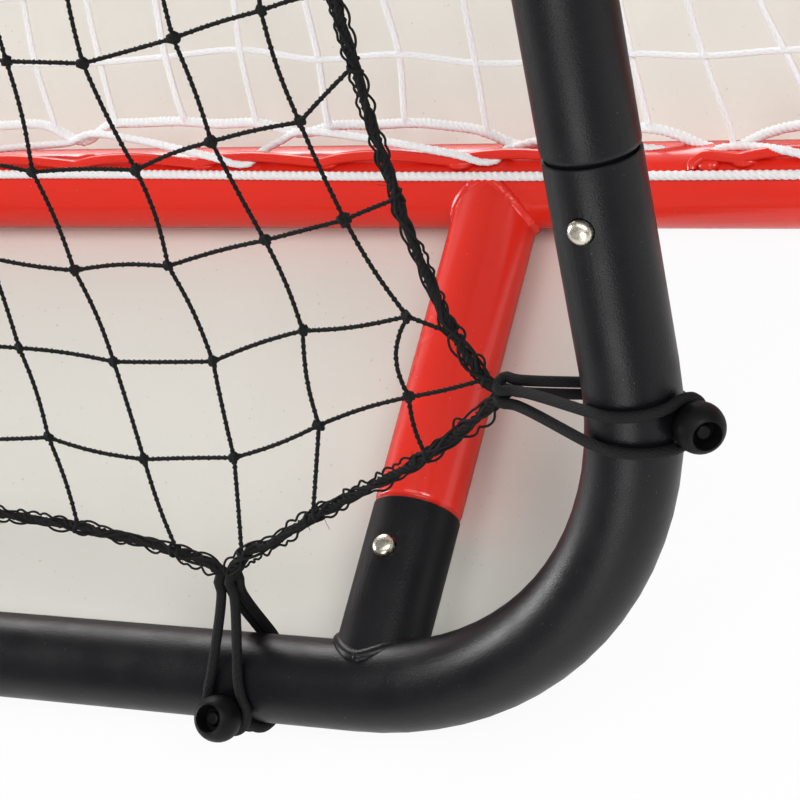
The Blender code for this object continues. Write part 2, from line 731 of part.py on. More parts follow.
def net_panel(outline, border, strand, lines, frame, thickness):
    """Return a flat net: a border along the outline and strands on a grid of lines within it."""
    origin, across, along = frame
    plate = slab(outline, origin, across, along, thickness)
    inner = slab(inset(outline, border), origin, across, along, 3 * thickness)
    cells = cells_mesh(*lines, strand, origin, across, along, 2.5 * thickness)
    centred = Matrix.Translation(-origin)
    for mesh in (inner, cells):
        mesh.transform(centred)
    gaps = drop_slivers(combine(cells, inner, "INTERSECT"), 3 * thickness)
    gaps.transform(centred.inverted())
    return combine(plate, gaps, "DIFFERENCE")


def spread(start, end, count):
    """Return evenly spaced values from start to end, both included."""
    return [start + (end - start) * index / count for index in range(count + 1)]


def scalloped_run(start, end, depth, inward):
    """Return points from start towards end: straight past an eye, then sagging inwards."""
    start, end, inward = Vector(start), Vector(end), Vector(inward)
    hold = (end - start).normalized() * (EYE_LENGTH / 2 + BLACK_BORDER / 2)
    points = []
    for index in range(SCALLOP_STEPS + 1):
        share = 0.5 - 0.5 * math.cos(math.pi * index / SCALLOP_STEPS)
        sag = depth * math.sin(math.pi * share) ** SCALLOP_POWER
        points.append(tuple((start + hold).lerp(end - hold, share) + inward * sag))
    return points


def black_outline():
    """Return the outline of the black net, anticlockwise, held at every bungee."""
    rails = rail_stations()
    sides = side_stations()
    right = REBOUNDER_WIDTH / 2 - SIDE_NET_GAP
    top = SLOPE_LENGTH - RAIL_NET_GAP
    outline = []
    for first, second in zip(rails, rails[1:]):
        outline += scalloped_run((first, RAIL_NET_GAP), (second, RAIL_NET_GAP), RAIL_SCALLOP, (0, 1))
    for first, second in zip(sides, sides[1:]):
        outline += scalloped_run((right, first), (right, second), SIDE_SCALLOP, (-1, 0))
    for first, second in zip(rails[::-1], rails[-2::-1]):
        outline += scalloped_run((first, top), (second, top), RAIL_SCALLOP, (0, -1))
    for first, second in zip(sides[::-1], sides[-2::-1]):
        outline += scalloped_run((-right, first), (-right, second), SIDE_SCALLOP, (1, 0))
    return outline


def black_net(material):
    """Make the black knotted net, with an eye in its border for every bungee."""
    outline = black_outline()
    rails = rail_stations()
    sides = side_stations()
    pitch = (rails[1] - rails[0]) / BLACK_CELLS_PER_RAIL_BAY
    row = (sides[1] - sides[0]) / BLACK_CELLS_PER_SIDE_BAY
    columns = math.ceil(REBOUNDER_WIDTH / 2 / pitch)
    across_lines = [pitch * (index + 0.5) for index in range(-columns - 1, columns + 1)]
    below = math.ceil(sides[0] / row)
    rows = math.ceil(SLOPE_LENGTH / row) + 1
    along_lines = [sides[0] + row * (index - below + 0.5) for index in range(rows + 1)]
    frame = (LOWER_RAIL, RIGHT, SLOPE)
    lines = (across_lines, along_lines)
    mesh = net_panel(outline, BLACK_BORDER, BLACK_STRAND, lines, frame, BLACK_NET_THICKNESS)
    start = BLACK_BORDER
    half = EYE_LENGTH / 2
    right = REBOUNDER_WIDTH / 2 - SIDE_NET_GAP
    boxes = []
    for place in rails:
        low = RAIL_NET_GAP + start
        boxes.append((place - half, low, place + half, low + EYE_DEPTH))
        high = SLOPE_LENGTH - low
        boxes.append((place - half, high - EYE_DEPTH, place + half, high))
    for height in sides:
        near = right - start
        boxes.append((near - EYE_DEPTH, height - half, near, height + half))
        boxes.append((-near, height - half, -near + EYE_DEPTH, height + half))
    for left, low, far, high in boxes:
        corners = [(left, low), (far, low), (far, high), (left, high)]
        mesh = combine(mesh, slab(corners, *frame, 3 * BLACK_NET_THICKNESS), "DIFFERENCE")
    return add_object("rebounder_net", mesh, material)


def white_back_net(material):
    """Make the white back panel, which slopes from the crossbar to the rear base bar."""
    edge = GOAL_WIDTH / 2 - WHITE_NET_THICKNESS / 2 - CLEARANCE
    low = WHITE_NET_OFFSET
    high = SLOPE_LENGTH - WHITE_NET_OFFSET
    bend = GOAL_WIDTH / 2 - BEND_RADIUS
    drop = BEND_RADIUS / 2
    shoulder = bend + 0.6 * BEND_RADIUS
    outline = [
        (-edge, low + WHITE_CORNER_RISE),
        (-bend, low),
        (bend, low),
        (edge, low + WHITE_CORNER_RISE),
        (edge, high - 1.2 * drop),
        (shoulder, high - 0.5 * drop),
        (bend - drop / 2, high),
        (-bend + drop / 2, high),
        (-shoulder, high - 0.5 * drop),
        (-edge, high - 1.2 * drop),
    ]
    lines = (spread(-edge, edge, WHITE_COLUMNS), spread(low, high, WHITE_ROWS))
    frame = (REAR_BAR, RIGHT, SLOPE)
    mesh = net_panel(outline, WHITE_BORDER, WHITE_STRAND, lines, frame, WHITE_NET_THICKNESS)
    return add_object("goal_net_back", mesh, material)


def white_side_net(name, side, material):
    """Make a white side panel between the side base bar, the post and the slope of the back."""
    floor = 2 * TUBE_RADIUS + CLEARANCE
    post = POST_Y - TUBE_RADIUS - CLEARANCE
    slope_run = 1 / math.tan(LEAN)
    lift = WHITE_NET_THICKNESS / 2 / math.sin(LEAN)

    def on_slope(height):
        return (REAR_Y - lift + (height - TUBE_RADIUS) * slope_run, height)

    bend_y = POST_Y - BEND_RADIUS
    bend_z = TUBE_RADIUS + BEND_RADIUS
    inner = BEND_RADIUS - CORNER_RADIUS - CLEARANCE
    toe = TUBE_RADIUS + (WHITE_NET_OFFSET + WHITE_CORNER_RISE) * math.sin(LEAN)
    crown = CROSSBAR_HEIGHT - 0.6 * BEND_RADIUS
    outline = [on_slope(toe), (REAR_Y + BEND_RADIUS, floor)]
    for step in range(BEND_STEPS + 1):
        angle = -math.pi / 2 + math.pi / 2 * step / BEND_STEPS
        outline.append((bend_y + inner * math.cos(angle), bend_z + inner * math.sin(angle)))
    outline[2] = (bend_y, floor)
    outline[-1] = (post, bend_z)
    outline += [(post, crown), on_slope(crown)]
    columns = round((post - REAR_Y) / WHITE_SIDE_PITCH)
    rows = round((crown - floor) / WHITE_SIDE_PITCH)
    lines = (spread(REAR_Y, post, columns), spread(floor, crown, rows))
    frame = (Vector((side * GOAL_WIDTH / 2, 0, 0)), BACK, UP)
    mesh = net_panel(outline, WHITE_BORDER, WHITE_STRAND, lines, frame, WHITE_NET_THICKNESS)
    return add_object(name, mesh, material)


def lacing_wire(name, bar, backward, upward, material):
    """Make a wavy wire that is welded along a goal bar at the foot of each wave."""
    reach = CORNER_RADIUS + CLEARANCE + WIRE_DIAMETER / 2
    lift = upward * math.cos(WIRE_ANGLE) + backward * math.sin(WIRE_ANGLE)
    half = GOAL_WIDTH / 2 - WIRE_END_INSET
    waves = round(2 * half / WIRE_PITCH)
    pitch = 2 * half / waves
    points = []
    for index in range(2 * waves + 1):
        height = WIRE_WAVE * (index % 2)
        points.append(bar + RIGHT * (-half + pitch * index / 2) + lift * (reach + height))
    return cord_object(name, points, WIRE_DIAMETER, 1, material)


def border_rope(material):
    """Make the straight white rope that lies along the top of the rear base bar."""
    reach = CORNER_RADIUS + CLEARANCE + ROPE_DIAMETER / 2
    lift = UP * math.cos(ROPE_ANGLE) + BACK * math.sin(ROPE_ANGLE)
    half = GOAL_WIDTH / 2 - WIRE_END_INSET
    points = [REAR_BAR + RIGHT * place + lift * reach for place in spread(-half, half, 4)]
    return cord_object("goal_net_border_rope", points, ROPE_DIAMETER, 2, material)


def lacing_cord(material):
    """Make the white cord that zigzags between the crests of the wire and the edge of the net."""
    wire_lift = UP * math.cos(WIRE_ANGLE) + BACK * math.sin(WIRE_ANGLE)
    wire_top = CORNER_RADIUS + CLEARANCE + WIRE_DIAMETER + WIRE_WAVE + CLEARANCE + LACING_DIAMETER / 2
    half = GOAL_WIDTH / 2 - WIRE_END_INSET
    waves = round(2 * half / WIRE_PITCH)
    pitch = 2 * half / waves
    net_lift = WHITE_NET_THICKNESS / 2 + CLEARANCE + LACING_DIAMETER / 2
    on_net = SLOPE * (WHITE_NET_OFFSET + WHITE_BORDER / 2) + FACING * net_lift
    points = []
    for index in range(waves):
        start = REAR_BAR + RIGHT * (-half + pitch * index)
        points.append(start + RIGHT * pitch * 0.05 + on_net)
        points.append(start + RIGHT * pitch * 0.5 + wire_lift * wire_top)
    points.append(REAR_BAR + RIGHT * (half - pitch * 0.05) + on_net)
    return cord_object("goal_net_lacing_cord", points, LACING_DIAMETER, 1, material)


def main():
    """Build every piece of the rebounder goal."""
    clear_scene()
    black = finish("black_powder_coat", (0.035, 0.037, 0.042), 0.0, 0.42)
    red = finish("red_enamel", (0.72, 0.035, 0.02), 0.0, 0.22)
    nickel = finish("nickel_plate", (0.72, 0.70, 0.66), 1.0, 0.22)
    elastic = finish("black_elastic_cord", (0.02, 0.02, 0.022), 0.0, 0.75)
    plastic = finish("black_ball_plastic", (0.02, 0.02, 0.022), 0.0, 0.45)
    twine = finish("black_net_twine", (0.022, 0.022, 0.024), 0.0, 0.85)
    white = finish("white_net_cord", (0.86, 0.86, 0.85), 0.0, 0.8)

    rebounder_rail("rebounder_lower_rail", LOWER_RAIL, SLOPE, STANDOFF_BACK, black)
    rebounder_rail("rebounder_upper_rail", UPPER_RAIL, -SLOPE, STANDOFF_BACK, black)
    goal_rear_base(red)
    goal_crossbar(red)
    for word, side in (("left", -1), ("right", 1)):
        upright(f"rebounder_upright_{word}", side, black)
        goal_side_frame(f"goal_side_frame_{word}", side, red)
        standoff(f"standoff_lower_{word}", side, REAR_BAR, red)
        standoff(f"standoff_upper_{word}", side, CROSSBAR, red)
        white_side_net(f"goal_net_side_{word}", side, white)
    place_snap_clips(nickel)
    place_bungees(elastic, plastic)
    black_net(twine)
    white_back_net(white)
    lacing_wire("lacing_wire_rear", REAR_BAR, BACK, UP, red)
    lacing_wire("lacing_wire_crossbar", CROSSBAR, -BACK, -UP, red)
    border_rope(white)
    lacing_cord(white)


if __name__ == "__main__":
    main()
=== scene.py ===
"""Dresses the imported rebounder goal: red and black steel tube, knotted nets and ball bungees.

The goal stands on bent red tube with a white net. A black rebounder frame leans on its back, and
twelve ball bungees stretch a black knotted net in it. Every piece is made in the frame of the
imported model, in metres, and rides on one of its bodies.
"""

import sys

import logging
import random
from dataclasses import dataclass
from enum import Enum
from math import acos, asin, ceil, copysign, cos, exp, floor, hypot, pi, radians, sin, sqrt, tan, tanh, tau
from typing import Callable, Iterable, Sequence

import bmesh
import bpy
from mathutils import Matrix, Vector

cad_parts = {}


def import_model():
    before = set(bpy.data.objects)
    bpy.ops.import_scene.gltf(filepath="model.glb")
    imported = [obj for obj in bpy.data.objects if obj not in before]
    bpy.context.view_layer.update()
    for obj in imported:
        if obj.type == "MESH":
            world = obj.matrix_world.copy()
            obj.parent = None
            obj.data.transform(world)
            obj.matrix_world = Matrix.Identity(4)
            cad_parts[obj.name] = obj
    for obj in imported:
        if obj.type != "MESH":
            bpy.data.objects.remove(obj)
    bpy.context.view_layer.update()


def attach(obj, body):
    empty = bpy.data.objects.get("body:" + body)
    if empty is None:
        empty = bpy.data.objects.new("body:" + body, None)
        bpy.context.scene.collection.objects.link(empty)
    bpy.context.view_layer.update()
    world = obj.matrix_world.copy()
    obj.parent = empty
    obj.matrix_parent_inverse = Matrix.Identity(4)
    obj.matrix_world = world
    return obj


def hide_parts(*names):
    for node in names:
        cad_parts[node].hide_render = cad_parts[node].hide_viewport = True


LOG = logging.getLogger("rebounder_goal")

UP = Vector((0, 0, 1))
RIGHT = Vector((1, 0, 0))
BACK = Vector((0, 1, 0))

Mesh = bpy.types.Mesh
Node = bpy.types.Node
Socket = bpy.types.NodeSocket
Point = tuple[float, float]
Line = Sequence[Vector]
Ray = tuple[Vector, Vector]
Row = tuple[Vector, Vector, float, float]


def swing(start: Vector, toward: Vector, angle: float) -> Vector:
    """Return the direction that lies at an angle from one axis toward another."""
    return start * cos(angle) + toward * sin(angle)


def shown(name: str, data: bpy.types.ID) -> bpy.types.Object:
    """Return a new object of the scene with a mesh, a lamp or a camera in it."""
    item = bpy.data.objects.new(name, data)
    bpy.context.scene.collection.objects.link(item)
    return item


class Slot(Enum):
    """The record's material slots."""

    BLACK_TUBE = "black_powder_coat"
    RED_TUBE = "red_enamel"
    NICKEL = "nickel_plate"
    ELASTIC = "black_elastic_cord"
    BALL = "black_ball_plastic"
    TWINE = "black_net_twine"
    WHITE = "white_net_cord"


class Side(Enum):
    """The two sides of the goal, by the sign of X."""

    LEFT = -1
    RIGHT = 1

    @property
    def word(self) -> str:
        """The side's name in lower case."""
        return self.name.lower()


@dataclass(frozen=True)
class Layout:
    """Driving sizes and places of the whole object. The gaps at the net's edge are the scene's own."""

    tube_radius: float = 0.01905
    wall: float = 0.0015
    bend_radius: float = 0.1524
    leg: float = 0.238
    neck: float = 0.055
    button_setback: float = 0.0235
    goal_width: float = 1.524
    crossbar_height: float = 0.952
    lean: float = radians(50)
    rebounder_width: float = 1.2
    standoff_reach: float = 0.242
    standoff_inset: float = 0.146
    stub_length: float = 0.080
    rail_bungee_inset: float = 0.206
    side_bungee_inset: float = 0.140
    rail_net_gap: float = 0.0456
    side_net_gap: float = 0.0541
    shoulder_gap: float = 0.0006
    rail_height: float = 0.0258662
    rail_y: float = -0.5044078

    @property
    def slope(self) -> Vector:
        """Direction up the lean of the rebounder."""
        return Vector((0, cos(self.lean), sin(self.lean)))

    @property
    def facing(self) -> Vector:
        """Direction that the rebounder faces."""
        return Vector((0, -sin(self.lean), cos(self.lean)))

    @property
    def slope_length(self) -> float:
        """Distance between the two rails of the rebounder."""
        return (self.crossbar_height - self.tube_radius) / sin(self.lean)

    @property
    def lower_rail(self) -> Vector:
        """Middle of the lower rail's axis."""
        return Vector((0, self.rail_y, self.rail_height))

    @property
    def upper_rail(self) -> Vector:
        """Middle of the upper rail's axis."""
        return self.lower_rail + self.slope * self.slope_length

    @property
    def rear_bar(self) -> Vector:
        """Middle of the rear base bar's axis."""
        return Vector((0, self.rail_y + self.standoff_reach, self.tube_radius))

    @property
    def crossbar(self) -> Vector:
        """Middle of the crossbar's axis."""
        depth = (self.crossbar_height - self.tube_radius) / tan(self.lean)
        return Vector((0, self.rear_bar.y + depth, self.crossbar_height))

    @property
    def standoff_length(self) -> float:
        """Distance between a rail's axis and its goal bar's axis."""
        return (self.rear_bar - self.lower_rail).length

    @property
    def standoff_back(self) -> Vector:
        """Direction of the stubs and standoffs, from the rails to the goal bars."""
        return (self.rear_bar - self.lower_rail).normalized()

    @property
    def standoff_up(self) -> Vector:
        """Direction across the standoffs and the bars that they stand on."""
        return RIGHT.cross(self.standoff_back)

    def on_net(self, across: float, along: float, lift: float = 0.0) -> Vector:
        """Return a point by its distances across the rebounder's plane, up its slope and in front of it."""
        return self.lower_rail + RIGHT * across + self.slope * along + self.facing * lift

    def rail_stations(self) -> list[float]:
        """Return where the bungees sit along a rail."""
        half = self.rebounder_width / 2 - self.rail_bungee_inset
        return [-half, 0.0, half]

    def side_stations(self) -> list[float]:
        """Return the heights on the slope where the bungees hold the net's sides."""
        low = self.side_bungee_inset
        return [low, self.slope_length / 2, self.slope_length - low]


class NodeSheet:
    """Adds and links nodes in a material, a world or a Geometry Nodes tree."""

    def __init__(self, tree: bpy.types.NodeTree) -> None:
        """Keep the tree to fill."""
        self.tree = tree

    def add(self, kind: str, inputs: dict | None = None, **settings: object) -> Node:
        """Add a node and set it.

        Args:
            kind: The node's type.
            inputs: Sockets by name or number, each with a value or a socket to link.
            settings: Properties of the node.

        Returns:
            The new node.
        """
        node = self.tree.nodes.new(kind)
        for key, value in settings.items():
            setattr(node, key, value)
        for key, value in (inputs or {}).items():
            self.feed(node, key, value)
        return node

    def feed(self, node: Node, key: str | int, value: object) -> None:
        """Set or link one input of a node.

        Args:
            node: The node.
            key: Name or number of its input.
            value: A value, or the output socket to link.
        """
        if isinstance(key, str):
            socket = next(s for s in node.inputs if s.name == key and s.enabled)
        else:
            socket = node.inputs[key]
        if isinstance(value, bpy.types.NodeSocket):
            self.tree.links.new(value, socket)
        else:
            socket.default_value = value

    def out(self, kind: str, inputs: dict | None = None, **settings: object) -> Socket:
        """Add a node, set it, and return its first output."""
        return self.add(kind, inputs, **settings).outputs[0]

    def math(self, operation: str, *values: object) -> Socket:
        """Return the result of a Math node on values or sockets."""
        return self.out("ShaderNodeMath", dict(enumerate(values)), operation=operation)

    def ramp(self, factor: Socket, low: float, high: float, start: float = 0.0, end: float = 1.0) -> Socket:
        """Return a factor mapped smoothly from low..high to start..end."""
        values = {"Value": factor, "From Min": low, "From Max": high, "To Min": start, "To Max": end}
        return self.out("ShaderNodeMapRange", values, interpolation_type="SMOOTHSTEP")

    def mix(self, factor: Socket, first: Socket | tuple, second: Socket | tuple) -> Socket:
        """Return two colours mixed by a factor."""
        return self.add("ShaderNodeMix", {0: factor, 6: first, 7: second}, data_type="RGBA").outputs[2]

    def blend(self, factor: Socket, first: Socket, second: Socket) -> Socket:
        """Return two shaders mixed by a factor."""
        return self.out("ShaderNodeMixShader", {0: factor, 1: first, 2: second})

    def noise(self, vector: Socket, scale: float, detail: float = 3.0, roughness: float = 0.55) -> Socket:
        """Return a noise factor over a vector."""
        values = {"Vector": vector, "Scale": scale, "Detail": detail, "Roughness": roughness}
        return self.out("ShaderNodeTexNoise", values)

    def attribute(self, name: str, kind: str = "FLOAT") -> Socket:
        """Return a named attribute of the geometry."""
        return self.out("GeometryNodeInputNamedAttribute", {"Name": name}, data_type=kind)

    def store(self, geometry: Socket, name: str, value: Socket, kind: str = "FLOAT",
              domain: str = "POINT") -> Socket:
        """Return the geometry with a named attribute stored on it."""
        return self.out("GeometryNodeStoreNamedAttribute", {"Geometry": geometry, "Name": name, "Value": value},
                        data_type=kind, domain=domain)


@dataclass(frozen=True)
class Finish:
    """A finish of one of the materials, made as a node tree."""

    name: str
    slot: Slot
    colour: tuple[float, float, float]
    roughness: float = 0.5
    metallic: float = 0.0

    def build(self) -> bpy.types.Material:
        """Make the material."""
        material = bpy.data.materials.new(self.name)
        material.use_nodes = True
        sheet = NodeSheet(material.node_tree)
        shader = material.node_tree.nodes["Principled BSDF"]
        sheet.feed(shader, "Base Color", self.tint())
        sheet.feed(shader, "Roughness", self.roughness)
        sheet.feed(shader, "Metallic", self.metallic)
        self.dress(sheet, shader)
        return material

    def dress(self, sheet: NodeSheet, shader: Node) -> None:
        """Add the finish's own detail to the shader."""

    def tint(self, share: float = 1.0, lift: float = 0.0) -> tuple[float, ...]:
        """Return the finish's colour times a share plus a lift, as a socket takes it."""
        return (*(share * part + lift for part in self.colour), 1)

    def place(self, sheet: NodeSheet) -> Socket:
        """Return the object coordinates."""
        return sheet.add("ShaderNodeTexCoord").outputs["Object"]

    def relief(self, sheet: NodeSheet, shader: Node, height: Socket, strength: float,
               distance: float) -> None:
        """Drive the shader's normal with a height."""
        values = {"Height": height, "Strength": strength, "Distance": distance}
        sheet.feed(shader, "Normal", sheet.out("ShaderNodeBump", values))


class PowderCoat(Finish):
    """Satin black powder coat with a fine grain and a little dust."""

    def dress(self, sheet: NodeSheet, shader: Node) -> None:
        """Add grain, cloudy gloss and specks of dust."""
        place = self.place(sheet)
        grain = sheet.noise(place, 1500, 2)
        cloud = sheet.noise(place, 45, 4)
        dust = sheet.ramp(sheet.noise(place, 620, 2), 0.73, 0.78, 0.0, 0.35)
        sheet.feed(shader, "Specular IOR Level", 0.27)
        colour = sheet.mix(cloud, self.tint(), self.tint(0.75, 0.001))
        sheet.feed(shader, "Base Color", sheet.mix(dust, colour, (0.20, 0.19, 0.18, 1)))
        gloss = sheet.ramp(cloud, 0.3, 0.7, self.roughness - 0.05, self.roughness + 0.06)
        sheet.feed(shader, "Roughness", sheet.math("ADD", gloss, sheet.math("MULTIPLY", dust, 0.4)))
        self.relief(sheet, shader, grain, 0.7, 0.0002)


class Enamel(Finish):
    """Glossy red enamel with slight waves and small scuffs."""

    def dress(self, sheet: NodeSheet, shader: Node) -> None:
        """Add a clear coat, waves in the gloss, and scuffs."""
        sheet.feed(shader, "Coat Weight", 0.3)
        sheet.feed(shader, "Coat Roughness", 0.08)
        place = self.place(sheet)
        cloud = sheet.noise(place, 28, 4)
        scuff = sheet.ramp(sheet.noise(place, 520, 3, 0.6), 0.72, 0.77, 0.0, 0.30)
        colour = sheet.mix(cloud, self.tint(), self.tint(0.94))
        sheet.feed(shader, "Base Color", sheet.mix(scuff, colour, (0.62, 0.22, 0.18, 1)))
        gloss = sheet.ramp(cloud, 0.0, 1.0, self.roughness - 0.03, self.roughness + 0.03)
        sheet.feed(shader, "Roughness", sheet.math("ADD", gloss, sheet.math("MULTIPLY", scuff, 0.5)))
        self.relief(sheet, shader, sheet.noise(place, 60, 0), 0.05, 0.0003)


class Plate(Finish):
    """Bright nickel plate with fine handling marks."""

    def dress(self, sheet: NodeSheet, shader: Node) -> None:
        """Add fine marks and a faint warm cloud."""
        place = self.place(sheet)
        cloud = sheet.noise(place, 700, 4)
        sheet.feed(shader, "Base Color", sheet.mix(cloud, self.tint(), (0.62, 0.57, 0.46, 1)))
        sheet.feed(shader, "Roughness", sheet.ramp(cloud, 0.3, 0.7, self.roughness - 0.05, self.roughness + 0.1))
        dents = sheet.noise(place, 330, 2)
        self.relief(sheet, shader, sheet.math("ADD", dents, sheet.noise(place, 2600, 3)), 0.22, 0.0003)


@dataclass(frozen=True)
class WovenCord(Finish):
    """A braided cord: crossing ribs that follow the cord's UV map, with fuzz, and painted shade that darkens the
    colour in the braid's grooves.
    """

    rib: float = 0.0016
    ribs_round: int = 8
    strength: float = 0.5
    # painted shade: how much darker the colour is in the braid's grooves
    contrast: float = 0.3

    def dress(self, sheet: NodeSheet, shader: Node) -> None:
        """Add the braid's crossing ribs and fine fuzz, with painted shade darkening the colour where they are low.
        """
        sheet.feed(shader, "Specular IOR Level", 0.25)
        route = sheet.add("ShaderNodeSeparateXYZ", {0: sheet.out("ShaderNodeUVMap", uv_map="route")}).outputs
        run = sheet.math("MULTIPLY", route[0], pi / self.rib)
        spin = sheet.math("MULTIPLY", route[1], tau * self.ribs_round)
        first = sheet.math("SINE", sheet.math("ADD", run, spin))
        second = sheet.math("SINE", sheet.math("SUBTRACT", run, spin))
        braid = sheet.math("MAXIMUM", first, second)
        fuzz = sheet.noise(self.place(sheet), 2200, 4)
        height = sheet.math("ADD", sheet.math("MULTIPLY", braid, 0.5), fuzz)
        # painted shade: the colour darkens in the braid's grooves, and the fuzz also varies it at random
        shade = sheet.ramp(height, 0.2, 1.3)
        sheet.feed(shader, "Base Color", sheet.mix(shade, self.tint(1 - self.contrast), self.tint()))
        self.relief(sheet, shader, height, self.strength, 0.0004)


class Moulded(Finish):
    """Matt moulded plastic with a fine spark grain."""

    def dress(self, sheet: NodeSheet, shader: Node) -> None:
        """Add spark grain and a faint bloom."""
        place = self.place(sheet)
        cloud = sheet.noise(place, 160, 4)
        sheet.feed(shader, "Specular IOR Level", 0.17)
        sheet.feed(shader, "Base Color", sheet.mix(cloud, self.tint(), self.tint(1.5, 0.001)))
        sheet.feed(shader, "Roughness", sheet.ramp(cloud, 0.3, 0.7, self.roughness - 0.06, self.roughness + 0.08))
        self.relief(sheet, shader, sheet.noise(place, 2400, 2), 0.25, 0.0002)


@dataclass(frozen=True)
class StudioFloor(Finish):
    """A pale floor: white that stays white to the camera, or specked cream that fades out past its reach."""

    glow: float = 0.0
    specks: float = 0.0
    dim: float = 0.0
    reach: float = 0.0

    def dress(self, sheet: NodeSheet, shader: Node) -> None:
        """Add the specks, the dimmer reflection and the fade, or the white that the camera sees."""
        place = self.place(sheet)
        surface = shader.outputs[0]
        path = sheet.add("ShaderNodeLightPath").outputs
        if self.specks:
            cloud = sheet.noise(place, 9, 3)
            grit = sheet.ramp(sheet.noise(place, 420, 2), 0.70, 0.75, 0.0, self.specks)
            colour = sheet.mix(cloud, self.tint(), self.tint(0.93))
            sheet.feed(shader, "Base Color", sheet.mix(grit, colour, (0.36, 0.32, 0.27, 1)))
            self.relief(sheet, shader, sheet.noise(place, 60, 3), 0.04, 0.001)
        if self.dim:
            dark = sheet.out("ShaderNodeEmission", {"Strength": 0.0})
            surface = sheet.blend(sheet.math("MULTIPLY", path["Is Glossy Ray"], self.dim), surface, dark)
            away = sheet.add("ShaderNodeVectorMath", {0: place}, operation="LENGTH").outputs["Value"]
            fade = sheet.ramp(away, self.reach, 1.8 * self.reach)
            surface = sheet.blend(fade, surface, sheet.out("ShaderNodeBsdfTransparent"))
        if self.glow:
            seen = sheet.math("MAXIMUM", path["Is Camera Ray"], path["Is Transmission Ray"])
            seen = sheet.math("MAXIMUM", seen, sheet.math("MULTIPLY", path["Is Glossy Ray"], 0.25))
            light = sheet.out("ShaderNodeEmission", {"Color": (1, 1, 1, 1), "Strength": 1.0})
            surface = sheet.blend(sheet.math("MULTIPLY", seen, self.glow), surface, light)
        out = next(node for node in sheet.tree.nodes if node.type == "OUTPUT_MATERIAL")
        sheet.feed(out, "Surface", surface)


@dataclass(frozen=True)
class TubeStock:
    """Round steel tube, swept along straight runs and bends."""

    layout: Layout
    sides: int = 48
    bend_steps: int = 20
    edge: float = 0.0004
    neck_play: float = 0.0003

    def path(self, corners: Line) -> list[Ray]:
        """Return (point, direction) along straight runs through corners, each corner a bend.

        Args:
            corners: Corner points of the tube's axis.
        """
        stations = [(corners[0], (corners[1] - corners[0]).normalized())]
        for before, corner, after in zip(corners, corners[1:], corners[2:]):
            inward = (corner - before).normalized()
            outward = (after - corner).normalized()
            turn = inward.angle(outward)
            setback = self.layout.bend_radius * tan(turn / 2)
            lean = (outward - inward * inward.dot(outward)).normalized()
            centre = corner - inward * setback + lean * self.layout.bend_radius
            radial = corner - inward * setback - centre
            axis = inward.cross(outward).normalized()
            for step in range(self.bend_steps + 1):
                spin = Matrix.Rotation(turn * step / self.bend_steps, 3, axis)
                stations.append((centre + spin @ radial, spin @ inward))
        stations.append((corners[-1], (corners[-1] - corners[-2]).normalized()))
        return stations

    def profile(self, stations: Sequence[Ray], neck_start: bool = False, neck_end: bool = False) -> list[Row]:
        """Give a path its outer and inner radii, with rounded rims and necked ends.

        Args:
            stations: Points and directions along the axis.
            neck_start: Whether the start is necked down.
            neck_end: Whether the end is necked down.

        Returns:
            Stations of (point, direction, outer radius, inner radius).
        """
        size = self.layout
        full = (size.tube_radius, size.tube_radius - size.wall)
        slim = (full[1] - self.neck_play, full[1] - self.neck_play - size.wall)
        rows = [(point, direction, *full) for point, direction in stations]
        ends = []
        for (point, inward), necked in ((stations[0], neck_start),
                                        ((stations[-1][0], -stations[-1][1]), neck_end)):
            direction = inward if not ends else -inward
            rim = slim if necked else full
            steps = [(0.0, rim[0] - self.edge, rim[1] + self.edge), (self.edge, *rim)]
            if necked:
                steps += [
                    (size.neck - 0.0012, *slim),
                    (size.neck + 0.0002, slim[0] + 0.0004, slim[1] + 0.0002),
                    (size.neck + 0.0009, full[0] - 0.0007, full[1] - 0.0008),
                    (size.neck + 0.0016, full[0] - 0.0002, full[1] - 0.0003),
                    (size.neck + 0.0030, *full),
                ]
            ends.append([(point + inward * run, direction, *radii) for run, *radii in steps])
        return ends[0] + rows[1:-1] + ends[1][::-1]

    def sweep(self, rows: Sequence[Row], reference: Vector,
              start_cut: Callable[[Vector], float] | None = None) -> Mesh:
        """Sweep an open tube along its stations.

        Args:
            rows: Stations of (point, direction, outer radius, inner radius).
            reference: An axis across the whole path, from which the sides are counted.
            start_cut: Gives how far along the axis the start is cut back, from a point's offset.

        Returns:
            The tube's mesh, closed at both rims.
        """
        points: list[Vector] = []
        count = self.sides
        for layer in (2, 3):
            for number, row in enumerate(rows):
                centre, direction = row[0], row[1]
                other = direction.cross(reference)
                for index in range(count):
                    offset = swing(reference, other, tau * index / count) * row[layer]
                    if start_cut and number < 2:
                        cut = start_cut(offset) + number * self.edge
                        points.append(rows[0][0] + offset + direction * cut)
                    else:
                        points.append(centre + offset)
        inner = len(rows) * count
        faces = []
        for row_index in range(len(rows) - 1):
            for index in range(count):
                after = (index + 1) % count
                low, high = row_index * count, (row_index + 1) * count
                faces.append((low + index, low + after, high + after, high + index))
                low, high = low + inner, high + inner
                faces.append((low + after, low + index, high + index, high + after))
        for row_index in (0, len(rows) - 1):
            low = row_index * count
            for index in range(count):
                after = (index + 1) % count
                faces.append((low + index, low + after, low + inner + after, low + inner + index))
        return MeshWork.mesh(points, faces)


